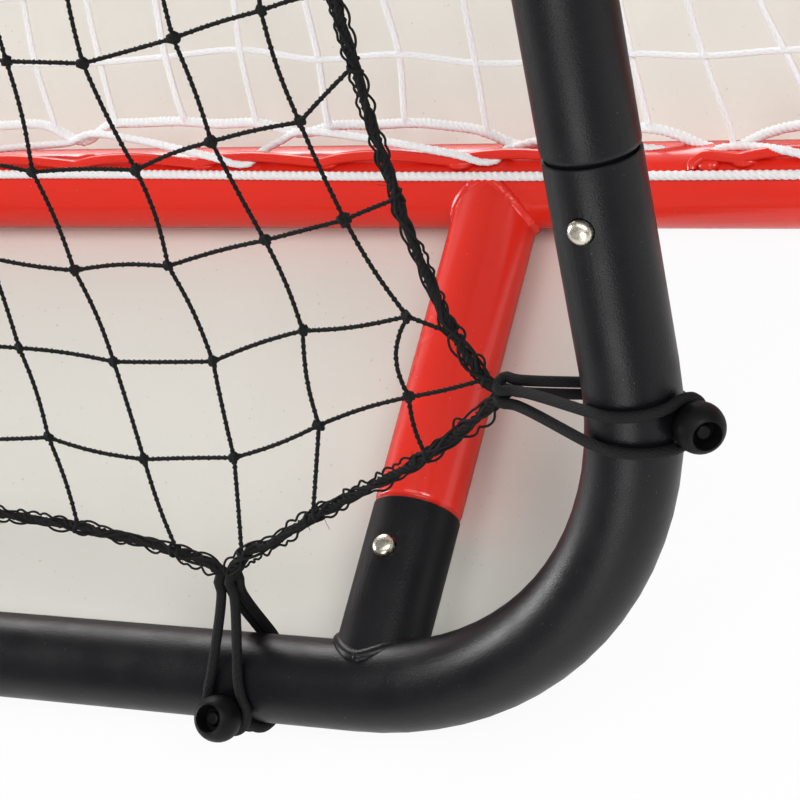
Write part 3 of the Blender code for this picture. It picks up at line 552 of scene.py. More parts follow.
class MeshWork:
    """Helpers that make and join meshes."""

    @staticmethod
    def mesh(points: Iterable[Vector], faces: Sequence[Sequence[int]]) -> Mesh:
        """Make a mesh with its faces pointing out.

        Args:
            points: The vertices.
            faces: Vertex numbers of each face.
        """
        mesh = bpy.data.meshes.new("mesh")
        mesh.from_pydata([tuple(point) for point in points], [], faces)
        shape = bmesh.new()
        shape.from_mesh(mesh)
        bmesh.ops.remove_doubles(shape, verts=shape.verts, dist=1e-7)
        bmesh.ops.recalc_face_normals(shape, faces=shape.faces)
        shape.to_mesh(mesh)
        shape.free()
        return mesh

    @staticmethod
    def turned(profile: Sequence[Point], origin: Vector, axis: Vector, segments: int) -> Mesh:
        """Turn a profile of (radius, height) points that starts and ends on the axis.

        Args:
            profile: The points.
            origin: A point of the axis.
            axis: The axis's direction.
            segments: Steps round the axis.
        """
        side = axis.orthogonal().normalized()
        other = axis.cross(side)
        points: list[Vector] = []
        rings: list[list[int]] = []
        for radius, height in profile:
            start = len(points)
            if radius == 0:
                rings.append([start])
                points.append(origin + axis * height)
                continue
            rings.append(list(range(start, start + segments)))
            for index in range(segments):
                spoke = swing(side, other, tau * index / segments)
                points.append(origin + axis * height + spoke * radius)
        faces = []
        for low, high in zip(rings, rings[1:]):
            for index in range(segments):
                after = (index + 1) % segments
                loop = (low[index % len(low)], low[after % len(low)],
                        high[after % len(high)], high[index % len(high)])
                faces.append(tuple(dict.fromkeys(loop)))
        return MeshWork.mesh(points, faces)

    @staticmethod
    def cut(base: Mesh, tool: Mesh) -> Mesh:
        """Return a mesh with a second one cut out of it.

        Args:
            base: The mesh to cut.
            tool: The cutter.
        """
        items = [shown("work", mesh) for mesh in (base, tool)]
        modifier = items[0].modifiers.new("cut", "BOOLEAN")
        modifier.operation = "DIFFERENCE"
        modifier.solver = "EXACT"
        modifier.object = items[1]
        graph = bpy.context.evaluated_depsgraph_get()
        result = bpy.data.meshes.new_from_object(items[0].evaluated_get(graph))
        for item in items:
            bpy.data.objects.remove(item, do_unlink=True)
        return result

    @staticmethod
    def join(meshes: Sequence[Mesh]) -> Mesh:
        """Return one mesh that holds all of the given ones."""
        shape = bmesh.new()
        for mesh in meshes:
            shape.from_mesh(mesh)
        result = bpy.data.meshes.new("mesh")
        shape.to_mesh(result)
        shape.free()
        return result


@dataclass(frozen=True)
class Cord:
    """How a cord is laid.

    Args:
        radius: Its radius.
        sides: Points round it.
        spacing: Distance between its rings.
        lobes: Plies that show round it.
        depth: How deep the grooves between plies are, as a share of the radius.
        pitch: Length of one turn of the lay. A smooth cord has next to no lay.
    """

    radius: float
    sides: int
    spacing: float
    lobes: float = 2.0
    depth: float = 0.0
    pitch: float = 1000.0


class Workshop:
    """Holds the layout, the finishes and the looms, and puts finished pieces into the scene."""

    def __init__(self, layout: Layout) -> None:
        """Make the finishes.

        Args:
            layout: The object's sizes.
        """
        self.layout = layout
        self.stock = TubeStock(layout)
        self.loom = CordLoom()
        self.beads = BeadLayer()
        finishes = (
            PowderCoat("satin_black_powder_coat", Slot.BLACK_TUBE, (0.0045, 0.0045, 0.0060), 0.34),
            Enamel("glossy_red_enamel", Slot.RED_TUBE, (0.82, 0.024, 0.010), 0.26),
            Plate("bright_nickel", Slot.NICKEL, (0.82, 0.77, 0.66), 0.25, 1.0),
            WovenCord("woven_black_elastic", Slot.ELASTIC, (0.0065, 0.0065, 0.007), 0.75),
            Moulded("black_moulded_ball", Slot.BALL, (0.0023, 0.0023, 0.0025), 0.50),
            WovenCord("black_twisted_twine", Slot.TWINE, (0.008, 0.008, 0.008), 0.8),
            WovenCord("white_braided_cord", Slot.WHITE, (0.96, 0.95, 0.95), 0.85, rib=0.003, ribs_round=5,
                      strength=0.3, contrast=0.08),
        )
        self.materials = {finish.slot: finish.build() for finish in finishes}
        self.total = 0

    def place(self, name: str, mesh: Mesh, slot: Slot, replaced: Sequence[str] = (),
              body: str = "frame", sharp: float = 40.0) -> None:
        """Put a finished mesh into the scene as a named piece.

        Args:
            name: The piece's name.
            mesh: Its mesh, in the object's frame.
            slot: Its material slot.
            replaced: CAD nodes that it stands for.
            body: The CAD body that it rides on.
            sharp: Angle in degrees above which an edge is shaded sharp; 0 keeps all smooth.
        """
        mesh.name = name
        mesh.materials.clear()
        mesh.materials.append(self.materials[slot])
        mesh.shade_smooth()
        if sharp:
            mesh.set_sharp_from_angle(angle=radians(sharp))
        item = shown(name, mesh)
        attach(item, body)
        if replaced:
            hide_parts(*replaced)
        triangles = sum(len(face.vertices) - 2 for face in mesh.polygons)
        self.total += triangles
        LOG.info("%-34s %-14s %7d triangles", name, body, triangles)

    def string(self, name: str, slot: Slot, cord: Cord, paths: Sequence[Line],
               replaced: Sequence[str] = ()) -> None:
        """Weave cords along paths and put them into the scene as one piece."""
        self.place(name, self.loom.weave(paths, self.materials[slot], cord), slot, replaced, sharp=0)


class NodeTool:
    """A Geometry Nodes tree with named inputs that is applied to meshes."""

    title = "tool"
    kinds: dict[str, str] = {}
    scratch: tuple[str, ...] = ()

    def __init__(self) -> None:
        """Build the tree: its sockets by their kinds, and then its nodes."""
        self.tree = bpy.data.node_groups.new(self.title, "GeometryNodeTree")
        self.sheet = NodeSheet(self.tree)
        sockets = self.tree.interface
        for way in ("INPUT", "OUTPUT"):
            sockets.new_socket("Geometry", in_out=way, socket_type="NodeSocketGeometry")
        self.inputs = {
            name: sockets.new_socket(name, in_out="INPUT", socket_type=f"NodeSocket{kind}").identifier
            for name, kind in self.kinds.items()
        }
        self.source = self.sheet.add("NodeGroupInput")
        self.build()

    def build(self) -> None:
        """Fill the tree."""

    def end(self, geometry: Socket) -> None:
        """Close the tree with smooth shading, Realize Instances and Set Material."""
        smooth = self.sheet.out("GeometryNodeSetShadeSmooth", {"Geometry": geometry})
        real = self.sheet.out("GeometryNodeRealizeInstances", {"Geometry": smooth})
        coat = {"Geometry": real, "Material": self.source.outputs["Material"]}
        self.sheet.add("NodeGroupOutput", {"Geometry": self.sheet.out("GeometryNodeSetMaterial", coat)})

    def apply(self, mesh: Mesh, **values: object) -> Mesh:
        """Run the tree on a mesh.

        Args:
            mesh: The mesh that the tree starts from.
            values: The tree's inputs, by name in lower case.

        Returns:
            The plain mesh that the tree makes, without the tree's scratch attributes.
        """
        item = shown("work", mesh)
        modifier = item.modifiers.new(self.title, "NODES")
        modifier.node_group = self.tree
        for name, identifier in self.inputs.items():
            modifier[identifier] = values[name.lower()]
        item.update_tag()
        graph = bpy.context.evaluated_depsgraph_get()
        result = bpy.data.meshes.new_from_object(item.evaluated_get(graph))
        bpy.data.objects.remove(item, do_unlink=True)
        for name in self.scratch:
            if name in result.attributes:
                result.attributes.remove(result.attributes[name])
        return result


class CordLoom(NodeTool):
    """Sweeps a twisted, lobed cord along every path of a mesh of edges."""

    title = "cord loom"
    kinds = {"Radius": "Float", "Sides": "Int", "Spacing": "Float", "Lobes": "Float", "Depth": "Float",
             "Pitch": "Float", "Material": "Material"}
    scratch = ("run", "round")

    def build(self) -> None:
        """Resample each path, twist it, and sweep the profile along it."""
        sheet, source = self.sheet, self.source.outputs
        paths = sheet.out("GeometryNodeMeshToCurve", {"Mesh": source["Geometry"]})
        fine = sheet.add("GeometryNodeResampleCurve", {"Curve": paths}, mode="LENGTH")
        sheet.feed(fine, "Length", source["Spacing"])
        length = sheet.add("GeometryNodeSplineParameter").outputs["Length"]
        twist = sheet.math("DIVIDE", sheet.math("MULTIPLY", length, tau), source["Pitch"])
        tilted = sheet.out("GeometryNodeSetCurveTilt", {"Curve": fine.outputs[0], "Tilt": twist})
        marked = sheet.store(tilted, "run", length)
        circle = sheet.out("GeometryNodeCurvePrimitiveCircle", {"Resolution": source["Sides"], "Radius": 1.0})
        share = sheet.add("GeometryNodeSplineParameter").outputs["Factor"]
        angle = sheet.math("MULTIPLY", sheet.math("MULTIPLY", share, tau), source["Lobes"])
        wave = sheet.math("MULTIPLY", sheet.math("COSINE", angle), source["Depth"])
        reach = sheet.math("MULTIPLY", sheet.math("ADD", wave, 1.0), source["Radius"])
        spot = sheet.out("GeometryNodeInputPosition")
        scaled = sheet.out("ShaderNodeVectorMath", {0: spot, "Scale": reach}, operation="SCALE")
        shaped = sheet.out("GeometryNodeSetPosition", {"Geometry": circle, "Position": scaled})
        profile = sheet.store(shaped, "round", share)
        swept = sheet.out("GeometryNodeCurveToMesh",
                          {"Curve": marked, "Profile Curve": profile, "Fill Caps": True})
        around = sheet.attribute("round")
        middle = sheet.out("GeometryNodeFieldOnDomain", {"Value": around}, domain="FACE", data_type="FLOAT")
        seam = sheet.math("MULTIPLY", sheet.math("LESS_THAN", around, 0.001),
                          sheet.math("GREATER_THAN", middle, 0.25))
        pair = sheet.out("ShaderNodeCombineXYZ", {0: sheet.attribute("run"), 1: sheet.math("ADD", around, seam)})
        self.end(sheet.store(swept, "route", pair, "FLOAT2", "CORNER"))

    def weave(self, paths: Sequence[Line], material: bpy.types.Material, cord: Cord) -> Mesh:
        """Sweep a cord along every path.

        Args:
            paths: Points of each cord's route.
            material: The cords' material.
            cord: How they are laid.

        Returns:
            One mesh of all the cords.
        """
        mesh = bpy.data.meshes.new("paths")
        points: list[tuple] = []
        edges: list[tuple[int, int]] = []
        for path in paths:
            start = len(points)
            points += [tuple(point) for point in path]
            edges += [(start + index, start + index + 1) for index in range(len(path) - 1)]
        mesh.from_pydata(points, edges, [])
        return self.apply(mesh, material=material, **vars(cord))


class BeadLayer(NodeTool):
    """Lays copies of a template along a path or on points, each a little different."""

    title = "bead layer"
    kinds = {"Template": "Object", "Spread": "Float", "Wobble": "Float", "Seed": "Int", "Material": "Material"}
    scratch = ("normal_axis", "run_axis")

    def build(self) -> None:
        """Put the template on every point, turned to the point's stored axes."""
        sheet, source = self.sheet, self.source.outputs
        template = sheet.add("GeometryNodeObjectInfo", {"Object": source["Template"]}).outputs["Geometry"]
        axes = {number: sheet.attribute(name, "FLOAT_VECTOR") for number, name in enumerate(self.scratch)}
        facing = sheet.out("FunctionNodeAxesToRotation", axes, primary_axis="Z", secondary_axis="X")
        wobble, spread = source["Wobble"], source["Spread"]
        lowest = sheet.math("MULTIPLY", wobble, -1.0)
        euler = sheet.out("ShaderNodeCombineXYZ", {axis: self.random(lowest, wobble, axis) for axis in range(3)})
        spin = sheet.out("FunctionNodeEulerToRotation", {0: euler})
        turned = sheet.out("FunctionNodeRotateRotation", {0: facing, 1: spin}, rotation_space="LOCAL")
        size = self.random(sheet.math("SUBTRACT", 1.0, spread), sheet.math("ADD", 1.0, spread), 7)
        self.end(sheet.out("GeometryNodeInstanceOnPoints",
                           {"Points": source["Geometry"], "Instance": template, "Rotation": turned,
                            "Scale": size}))

    def random(self, low: Socket, high: Socket, step: int) -> Socket:
        """Return a random number for each point, by the tree's seed and a step from it."""
        seed = self.sheet.math("ADD", self.source.outputs["Seed"], step)
        return self.sheet.add("FunctionNodeRandomValue", {"Min": low, "Max": high, "Seed": seed},
                              data_type="FLOAT").outputs[1]

    def lay(self, points: Line, normals: Line, runs: Line, template: Mesh, material: bpy.types.Material,
            spread: float, wobble: float, seed: int) -> Mesh:
        """Put a copy of a template on every point.

        Args:
            points: Where the copies go.
            normals: What each copy's Z axis points along.
            runs: What each copy's X axis points along.
            template: The mesh to copy.
            material: Its material.
            spread: How much the size varies, as a share.
            wobble: How much the direction varies, in radians.
            seed: Seed of the random numbers.

        Returns:
            One mesh of all the copies.
        """
        mesh = bpy.data.meshes.new("points")
        mesh.from_pydata([tuple(point) for point in points], [], [])
        for name, vectors in zip(self.scratch, (normals, runs)):
            flat = [value for vector in vectors for value in vector]
            mesh.attributes.new(name, "FLOAT_VECTOR", "POINT").data.foreach_set("vector", flat)
        holder = bpy.data.objects.new("template", template)
        result = self.apply(mesh, template=holder, spread=spread, wobble=wobble, seed=seed, material=material)
        bpy.data.objects.remove(holder, do_unlink=True)
        return result


@dataclass
class TubeWork:
    """Makes the tubes of a frame, with drilled holes, fish-mouth feet and weld beads."""

    shop: Workshop
    slot: Slot = Slot.BLACK_TUBE
    hole_radius: float = 0.0053
    neck_hole_radius: float = 0.0050
    bead_length: float = 0.0060
    bead_width: float = 0.0030
    bead_pitch: float = 0.0047
    bead_core: Cord = Cord(0.0031, 10, 0.0025)
    bead_sink: float = 0.0015
    saddle: float = 0.34
    foot_fit: float = 0.0003

    def tube(self, name: str, path: Sequence[Ray], reference: Vector, holes: Sequence[Ray],
             replaced: Sequence[str] = (), necks: tuple[bool, bool] = (False, False), foot: bool = False) -> None:
        """Make one tube with its button holes.

        Args:
            name: The piece's name.
            path: Points and directions along its axis.
            reference: The direction across its bends or its foot.
            holes: The axis point and the direction of each hole.
            replaced: CAD nodes that it stands for.
            necks: Whether its start and its end are necked down.
            foot: Whether its start fits round a tube.
        """
        stock = self.shop.stock
        mesh = stock.sweep(stock.profile(path, *necks), reference, self.foot_cut(reference) if foot else None)
        radius = self.neck_hole_radius if necks[1] else self.hole_radius
        inner, outer = 0.6 * self.shop.layout.tube_radius, 1.3 * self.shop.layout.tube_radius
        drill = [(0, inner), (radius, inner), (radius, outer), (0, outer)]
        for axis_point, outward in holes:
            mesh = MeshWork.cut(mesh, MeshWork.turned(drill, axis_point, outward, 40))
        self.shop.place(name, mesh, self.slot, replaced)

    def staple(self, middle: Vector, half: float, into: Vector) -> list[Ray]:
        """Return the path of a bar with a bent leg at each end."""
        ends, leg = (middle - RIGHT * half, middle + RIGHT * half), into * self.shop.layout.leg
        return self.shop.stock.path([ends[0] + leg, *ends, ends[1] + leg])

    def foot_cut(self, upward: Vector) -> Callable[[Vector], float]:
        """Return the fish-mouth cut of a tube that meets one of its own size squarely."""
        reach = self.shop.layout.tube_radius - self.foot_fit
        return lambda offset: sqrt(max(0.0, reach**2 - min(reach, abs(offset.dot(upward))) ** 2))

    def weld(self, name: str, foot: Vector, run: Vector, upward: Vector, seed: int) -> None:
        """Make the weld bead round the foot of a tube: a smooth core with ripples, never below the floor.

        Args:
            name: The piece's name.
            foot: Where the two axes meet.
            run: Direction of the standing tube.
            upward: Direction across both tubes.
            seed: Seed of its ripples.
        """
        radius = self.shop.layout.tube_radius
        count = round(2.4 * pi * radius / self.bead_pitch)
        spots, normals = [], []
        for index in range(count):
            angle = tau * (index + 0.5) / count
            across, above = cos(angle), sin(angle)
            spots.append(foot + (RIGHT * across + upward * above + run * hypot(across, self.saddle)) * radius)
            normals.append((RIGHT * across + upward * 2 * above + run * abs(across)).normalized())
        runs = [(spots[(i + 1) % count] - spots[i - 1]).normalized() for i in range(count)]
        raised = [spot - normal * self.bead_sink for spot, normal in zip(spots, normals)]
        shade = self.shop.materials[self.slot]
        core = self.shop.loom.weave([raised + raised[:1]], shade, self.bead_core)
        bead = MeshWork.turned(
            [(0, -1), (0.6, -0.8), (0.95, -0.3), (0.95, 0.3), (0.6, 0.8), (0, 1)], Vector(), UP, 10)
        bead.transform(Matrix.Diagonal((self.bead_length / 2, self.bead_width, self.bead_width, 1)))
        ripples = self.shop.beads.lay(raised, normals, runs, bead, shade, 0.16, 0.35, seed)
        mesh = MeshWork.join([core, ripples])
        for vertex in mesh.vertices:
            vertex.co.z = max(vertex.co.z, 0.0)
        self.shop.place(name, mesh, self.slot, sharp=0)


@dataclass
class RebounderFrame(TubeWork):
    """The black frame: two bent rails with stubs, and two straight uprights."""

    def rail(self, word: str, rail: Vector, into: Vector) -> None:
        """Make one rail with its two stubs.

        Args:
            word: Its name's first word.
            rail: The middle of its axis.
            into: The direction that its legs run in.
        """
        size = self.shop.layout
        half, back, above = size.rebounder_width / 2, size.standoff_back, size.standoff_up
        holes = [(rail + RIGHT * side.value * half + into * (size.leg - size.button_setback), size.facing)
                 for side in Side]
        self.tube(f"rebounder_{word}_rail_tube", self.staple(rail, half, into), size.facing, holes,
                  [f"rebounder_{word}_rail"])
        for side in Side:
            foot = rail + RIGHT * side.value * (half - size.standoff_inset)
            rim = foot + back * size.stub_length
            self.tube(f"rebounder_{word}_stub_{side.word}", [(foot, back), (rim, back)], above,
                      [(rim - back * size.button_setback, above)], foot=True)
            self.weld(f"rebounder_{word}_weld_{side.word}", foot, back, above, 11 + side.value)

    def upright(self, side: Side) -> None:
        """Make one upright, necked at both ends."""
        size = self.shop.layout
        foot = size.lower_rail + RIGHT * side.value * size.rebounder_width / 2
        end, hole = size.leg + size.shoulder_gap - size.neck, size.leg - size.button_setback
        path = [(foot + size.slope * place, size.slope) for place in (end, size.slope_length - end)]
        holes = [(foot + size.slope * place, size.facing) for place in (hole, size.slope_length - hole)]
        self.tube(f"rebounder_upright_tube_{side.word}", path, size.facing, holes,
                  [f"rebounder_upright_{side.word}"], (True, True))

    def build(self) -> None:
        """Make the whole frame."""
        size = self.shop.layout
        self.rail("lower", size.lower_rail, size.slope)
        self.rail("upper", size.upper_rail, -size.slope)
        for side in Side:
            self.upright(side)


@dataclass
class GoalFrame(TubeWork):
    """The red goal: rear base bar, side frames, crossbar, standoffs and lacing wires."""

    slot: Slot = Slot.RED_TUBE
    wire_stock: Cord = Cord(0.0025, 14, 0.002)
    wire_pitch: float = 0.0690
    wire_wave: float = 0.0023
    wire_phase: float = 0.0245
    wire_low_angle: float = radians(3)
    wire_high_angle: float = radians(9)
    wire_skew: float = 0.756
    wire_step: float = 0.003
    wire_end: float = 0.610
    wire_break: tuple[float, float] = (0.513, 0.560)

    def standoff(self, word: str, side: Side, bar: Vector) -> None:
        """Make one standoff with its weld to a goal bar.

        Args:
            word: Whether it is the lower or the upper one.
            side: Its side.
            bar: The middle of the bar's axis.
        """
        size = self.shop.layout
        run, above = -size.standoff_back, size.standoff_up
        seat = bar + RIGHT * side.value * (size.rebounder_width / 2 - size.standoff_inset)
        length = size.standoff_length - size.stub_length
        tip = seat + run * (length - size.shoulder_gap + size.neck)
        self.tube(f"standoff_{word}_tube_{side.word}", [(seat, run), (tip, run)], above,
                  [(seat + run * (length + size.button_setback), above)], [f"standoff_{word}_{side.word}"],
                  (False, True), True)
        self.weld(f"standoff_{word}_weld_{side.word}", seat, run, above, 31 + side.value)

    def wire(self, name: str, bar: Vector, backward: Vector, upward: Vector) -> None:
        """Make a bent wire in three lengths, welded to a bar at the foot of each wave.

        Args:
            name: The CAD node that it replaces.
            bar: The middle of the bar's axis.
            backward: The direction across the bar that the wire leans to.
            upward: The direction away from the bar.
        """
        size = self.shop.layout
        reach = size.tube_radius + self.wire_stock.radius
        near, far = self.wire_break
        routes, welds = [], []

        def on_bar(place: float, angle: float, distance: float) -> Vector:
            """Return a point round the bar."""
            return bar + RIGHT * place + swing(upward, backward, angle) * distance

        for start, end in ((-self.wire_end, -far), (-near, near), (far, self.wire_end)):
            steps = round((end - start) / self.wire_step)
            route = []
            for index in range(steps + 1):
                place = start + (end - start) * index / steps
                share = ((abs(place) - self.wire_phase) / self.wire_pitch) % 1.0
                crest = sin(pi * share**self.wire_skew)
                angle = self.wire_low_angle + (self.wire_high_angle - self.wire_low_angle) * crest
                route.append(on_bar(place, angle, reach - 0.0005 + self.wire_wave * crest))
                if share * self.wire_pitch < self.wire_step:
                    welds.append(on_bar(place, angle, size.tube_radius + 0.0006))
            for rim, sign in ((route[0], -1), (route[-1], 1)):
                if abs(abs(rim.x) - far) < 0.001:
                    hook = [on_bar(rim.x + sign * run, angle, distance) for run, angle, distance in (
                        (0.0040, self.wire_low_angle - 0.03, reach - 0.0006),
                        (0.0058, self.wire_low_angle - 0.12, reach - 0.0012),
                        (0.0055, self.wire_low_angle - 0.22, reach - 0.0018))]
                    route = hook[::-1] + route if sign < 0 else route + hook
                    welds.append(on_bar(rim.x - sign * 0.0015, self.wire_low_angle - 0.10,
                                        size.tube_radius + 0.0008))
            routes.append(route)
        shade = self.shop.materials[self.slot]
        mesh = self.shop.loom.weave(routes, shade, self.wire_stock)
        blob = MeshWork.turned([(0, -1), (0.7, -0.7), (1, 0), (0.75, 0.6), (0, 0.9)], Vector(), UP, 18)
        blob.transform(Matrix.Diagonal((0.0062, 0.0042, 0.0030, 1)))
        normals = [(spot - bar - RIGHT * (spot - bar).dot(RIGHT)).normalized() for spot in welds]
        blobs = self.shop.beads.lay(welds, normals, [RIGHT] * len(welds), blob, shade, 0.18, 0.12, 5)
        self.shop.place(f"{name}_bent", MeshWork.join([mesh, blobs]), self.slot, [name], sharp=0)

    def build(self) -> None:
        """Make the whole red frame."""
        size = self.shop.layout
        half, leg, setback = size.goal_width / 2, size.leg, size.button_setback
        rear, top = size.rear_bar, size.crossbar
        for name, bar, into, across in (
            ("goal_rear_base_bar", rear, BACK, UP),
            ("goal_crossbar", top, -UP, BACK),
        ):
            holes = [(bar + RIGHT * side.value * half + into * (leg - setback), RIGHT * -side.value)
                     for side in Side]
            self.tube(f"{name}_tube", self.staple(bar, half, into), across, holes, [name])
        reach = leg + size.shoulder_gap - size.neck
        for side in Side:
            corner = Vector((side.value * half, top.y, size.tube_radius))
            depth, rise = top.y - rear.y, top.z - size.tube_radius
            corners = [corner - BACK * (depth - reach), corner, corner + UP * (rise - reach)]
            holes = [(corner - BACK * (depth - leg + setback), RIGHT * -side.value),
                     (corner + UP * (rise - leg + setback), RIGHT * -side.value)]
            name = f"goal_side_frame_{side.word}"
            self.tube(f"{name}_tube", self.shop.stock.path(corners), RIGHT, holes, [name], (True, True))
            self.standoff("lower", side, rear)
            self.standoff("upper", side, top)
        self.wire("lacing_wire_rear", rear, BACK, UP)
        self.wire("lacing_wire_crossbar", top, -BACK, -UP)


@dataclass
class SnapClips:
    """The twelve sprung buttons, each on its bent strip inside the tube."""

    shop: Workshop
    radius: float = 0.0049
    height: float = 0.0036
    strip_width: float = 0.008
    strip_thickness: float = 0.0008
    strip_length: float = 0.021
    overhang: float = 0.007
    root: float = 0.0045
    dome: float = 0.0026
    fold: float = 0.0020
    strip_gap: float = 0.0014

    def button(self, axis_point: Vector, outward: Vector) -> Mesh:
        """Return the domed button.

        Args:
            axis_point: The tube's axis under it.
            outward: The direction that it faces.
        """
        base = self.shop.layout.tube_radius - self.root
        top = self.shop.layout.tube_radius + self.height
        shoulder = top - self.dome
        profile = [(0, base), (self.radius, base), (self.radius, shoulder)]
        for step in range(1, 9):
            angle = pi / 2 * step / 9
            profile.append((self.radius * cos(angle) ** 0.75, shoulder + self.dome * sin(angle)))
        return MeshWork.turned(profile + [(0, top)], axis_point, outward, 36)

    def strip(self, axis_point: Vector, outward: Vector, along: Vector) -> Mesh:
        """Return the spring strip, folded back under the button.

        Args:
            axis_point: The tube's axis under the button.
            outward: The direction that the button faces.
            along: The direction of the fold.
        """
        size = self.shop.layout
        top = size.tube_radius - 2 * size.wall - self.strip_gap
        line = [(-self.overhang, top), (self.strip_length, top)]
        for step in range(1, 8):
            angle = pi / 2 - (pi - 0.55) * step / 7
            line.append((self.strip_length + self.fold * cos(angle),
                         top - self.fold + self.fold * sin(angle)))
        line.append((-self.overhang, -0.4 * top))
        across = outward.cross(along)
        points, faces = [], []
        half, thick = self.strip_width / 2, self.strip_thickness
        for index, (run, height) in enumerate(line):
            before = Vector(line[max(index - 1, 0)])
            after = Vector(line[min(index + 1, len(line) - 1)])
            lean = (after - before).normalized()
            normal = Vector((-lean.y, lean.x)) * thick / 2
            for side in (-half, half):
                for sign in (-1, 1):
                    spot = along * (run + sign * normal.x) + outward * (height + sign * normal.y)
                    points.append(axis_point + spot + across * side)
        for index in range(len(line) - 1):
            low, high = 4 * index, 4 * index + 4
            for first, second in ((0, 1), (1, 3), (3, 2), (2, 0)):
                faces.append((low + first, low + second, high + second, high + first))
        last = 4 * (len(line) - 1)
        faces += [(0, 1, 3, 2), (last, last + 1, last + 3, last + 2)]
        return MeshWork.mesh(points, faces)

    def build(self) -> None:
        """Make all twelve clips, each on its own body."""
        size = self.shop.layout
        setback = size.leg - size.button_setback
        stub = size.standoff_back * (size.stub_length - size.button_setback)
        for side in Side:
            upright = RIGHT * side.value * size.rebounder_width / 2
            standoff = RIGHT * side.value * (size.rebounder_width / 2 - size.standoff_inset)
            post, inner = RIGHT * side.value * size.goal_width / 2, RIGHT * -side.value
            for place, axis_point, outward, along in (
                ("upright_lower", size.lower_rail + upright + size.slope * setback, size.facing, size.slope),
                ("upright_upper", size.upper_rail + upright - size.slope * setback, size.facing, -size.slope),
                ("standoff_lower", size.lower_rail + standoff + stub, size.standoff_up, size.standoff_back),
                ("standoff_upper", size.upper_rail + standoff + stub, size.standoff_up, size.standoff_back),
                ("base", size.rear_bar + post + BACK * setback, inner, BACK),
                ("post", size.crossbar + post - UP * setback, inner, -UP),
            ):
                word = f"{place}_{side.word}"
                mesh = MeshWork.join([self.button(axis_point, outward), self.strip(axis_point, outward, along)])
                self.shop.place(f"button_and_strip_{word}", mesh, Slot.NICKEL, [f"snap_clip_{word}"],
                                f"button_{word}", 50)


class Route:
    """Helpers for the routes of cords."""

    @staticmethod
    def smooth(points: Line, step: float) -> list[Vector]:
        """Return a smooth line through points, with a point about every step.

        Args:
            points: Points that the line goes through.
            step: Distance between the new points.
        """
        rows = [points[0] * 2 - points[1], *points, points[-1] * 2 - points[-2]]
        result = [points[0]]
        for before, start, end, after in zip(rows, rows[1:], rows[2:], rows[3:]):
            knots = [0.0]
            for first, second in ((before, start), (start, end), (end, after)):
                knots.append(knots[-1] + max((second - first).length, 1e-6) ** 0.5)
            count = max(1, round((end - start).length / step))
            for index in range(1, count + 1):
                result.append(Route.between((before, start, end, after), knots, index / count))
        return result

    @staticmethod
    def between(line: Line, knots: Sequence[float], share: float) -> Vector:
        """Return the point at a share of the middle span of a Catmull-Rom curve."""
        here = knots[1] + (knots[2] - knots[1]) * share
        level = list(line)
        for size in (1, 2, 3):
            nearer = []
            for index in range(len(level) - 1):
                low, high = (1, 2) if size == 3 else (index, index + size)
                span = knots[high] - knots[low]
                weight = (here - knots[low]) / span
                nearer.append(level[index] * (1 - weight) + level[index + 1] * weight)
            level = nearer
        return level[0]

    @staticmethod
    def wander(path: Line, across: Vector, above: Vector, amount: float, wave: float, seed: int) -> list[Vector]:
        """Return a path moved sideways by smooth random waves.

        Args:
            path: The points.
            across: One direction to move in.
            above: The other direction.
            amount: How far it moves at most, about.
            wave: Length of a wave.
            seed: Seed of the random waves.
        """
        chance = random.Random(seed)
        waves = [(wave * chance.uniform(0.6, 1.6), chance.uniform(0, 6.28), chance.uniform(0, 6.28))
                 for _ in range(4)]
        result, run = [], 0.0
        for index, point in enumerate(path):
            if index:
                run += (point - path[index - 1]).length
            first = sum(sin(tau * run / length + phase) for length, phase, _ in waves) / 2.5
            second = sum(sin(tau * run / length + phase) for length, _, phase in waves) / 2.5
            result.append(point + across * first * amount + above * second * amount)
        return result


@dataclass(frozen=True)
class Grip:
    """How a bungee holds on, by angles from the facing direction and drifts along the tube.

    Args:
        ball_angle: Where the ball sits.
        hole_angle: Where the ball's recess faces.
        lean: How far the strands behind the tube drift, at the net's side and the ball's.
        hook: How far the strands before and behind the net's edge drift.
        growth: How late the strands before the tube part from each other.
    """

    ball_angle: float
    hole_angle: float
    lean: tuple[float, float]
    hook: tuple[float, float]
    growth: float


@dataclass(frozen=True)
class Berth:
    """Where a bungee sits.

    Args:
        axis_point: The tube's axis under the ball.
        tube: The tube's direction.
        inward: The direction from the tube to the net.
        reach: Distance from the axis to the net's edge.
        slip: How far along the tube the net's edge lies from the ball.
        sign: Which way the strands lean.
        grip: How it holds on.
    """

    axis_point: Vector
    tube: Vector
    inward: Vector
    reach: float
    slip: float
    sign: float
    grip: Grip


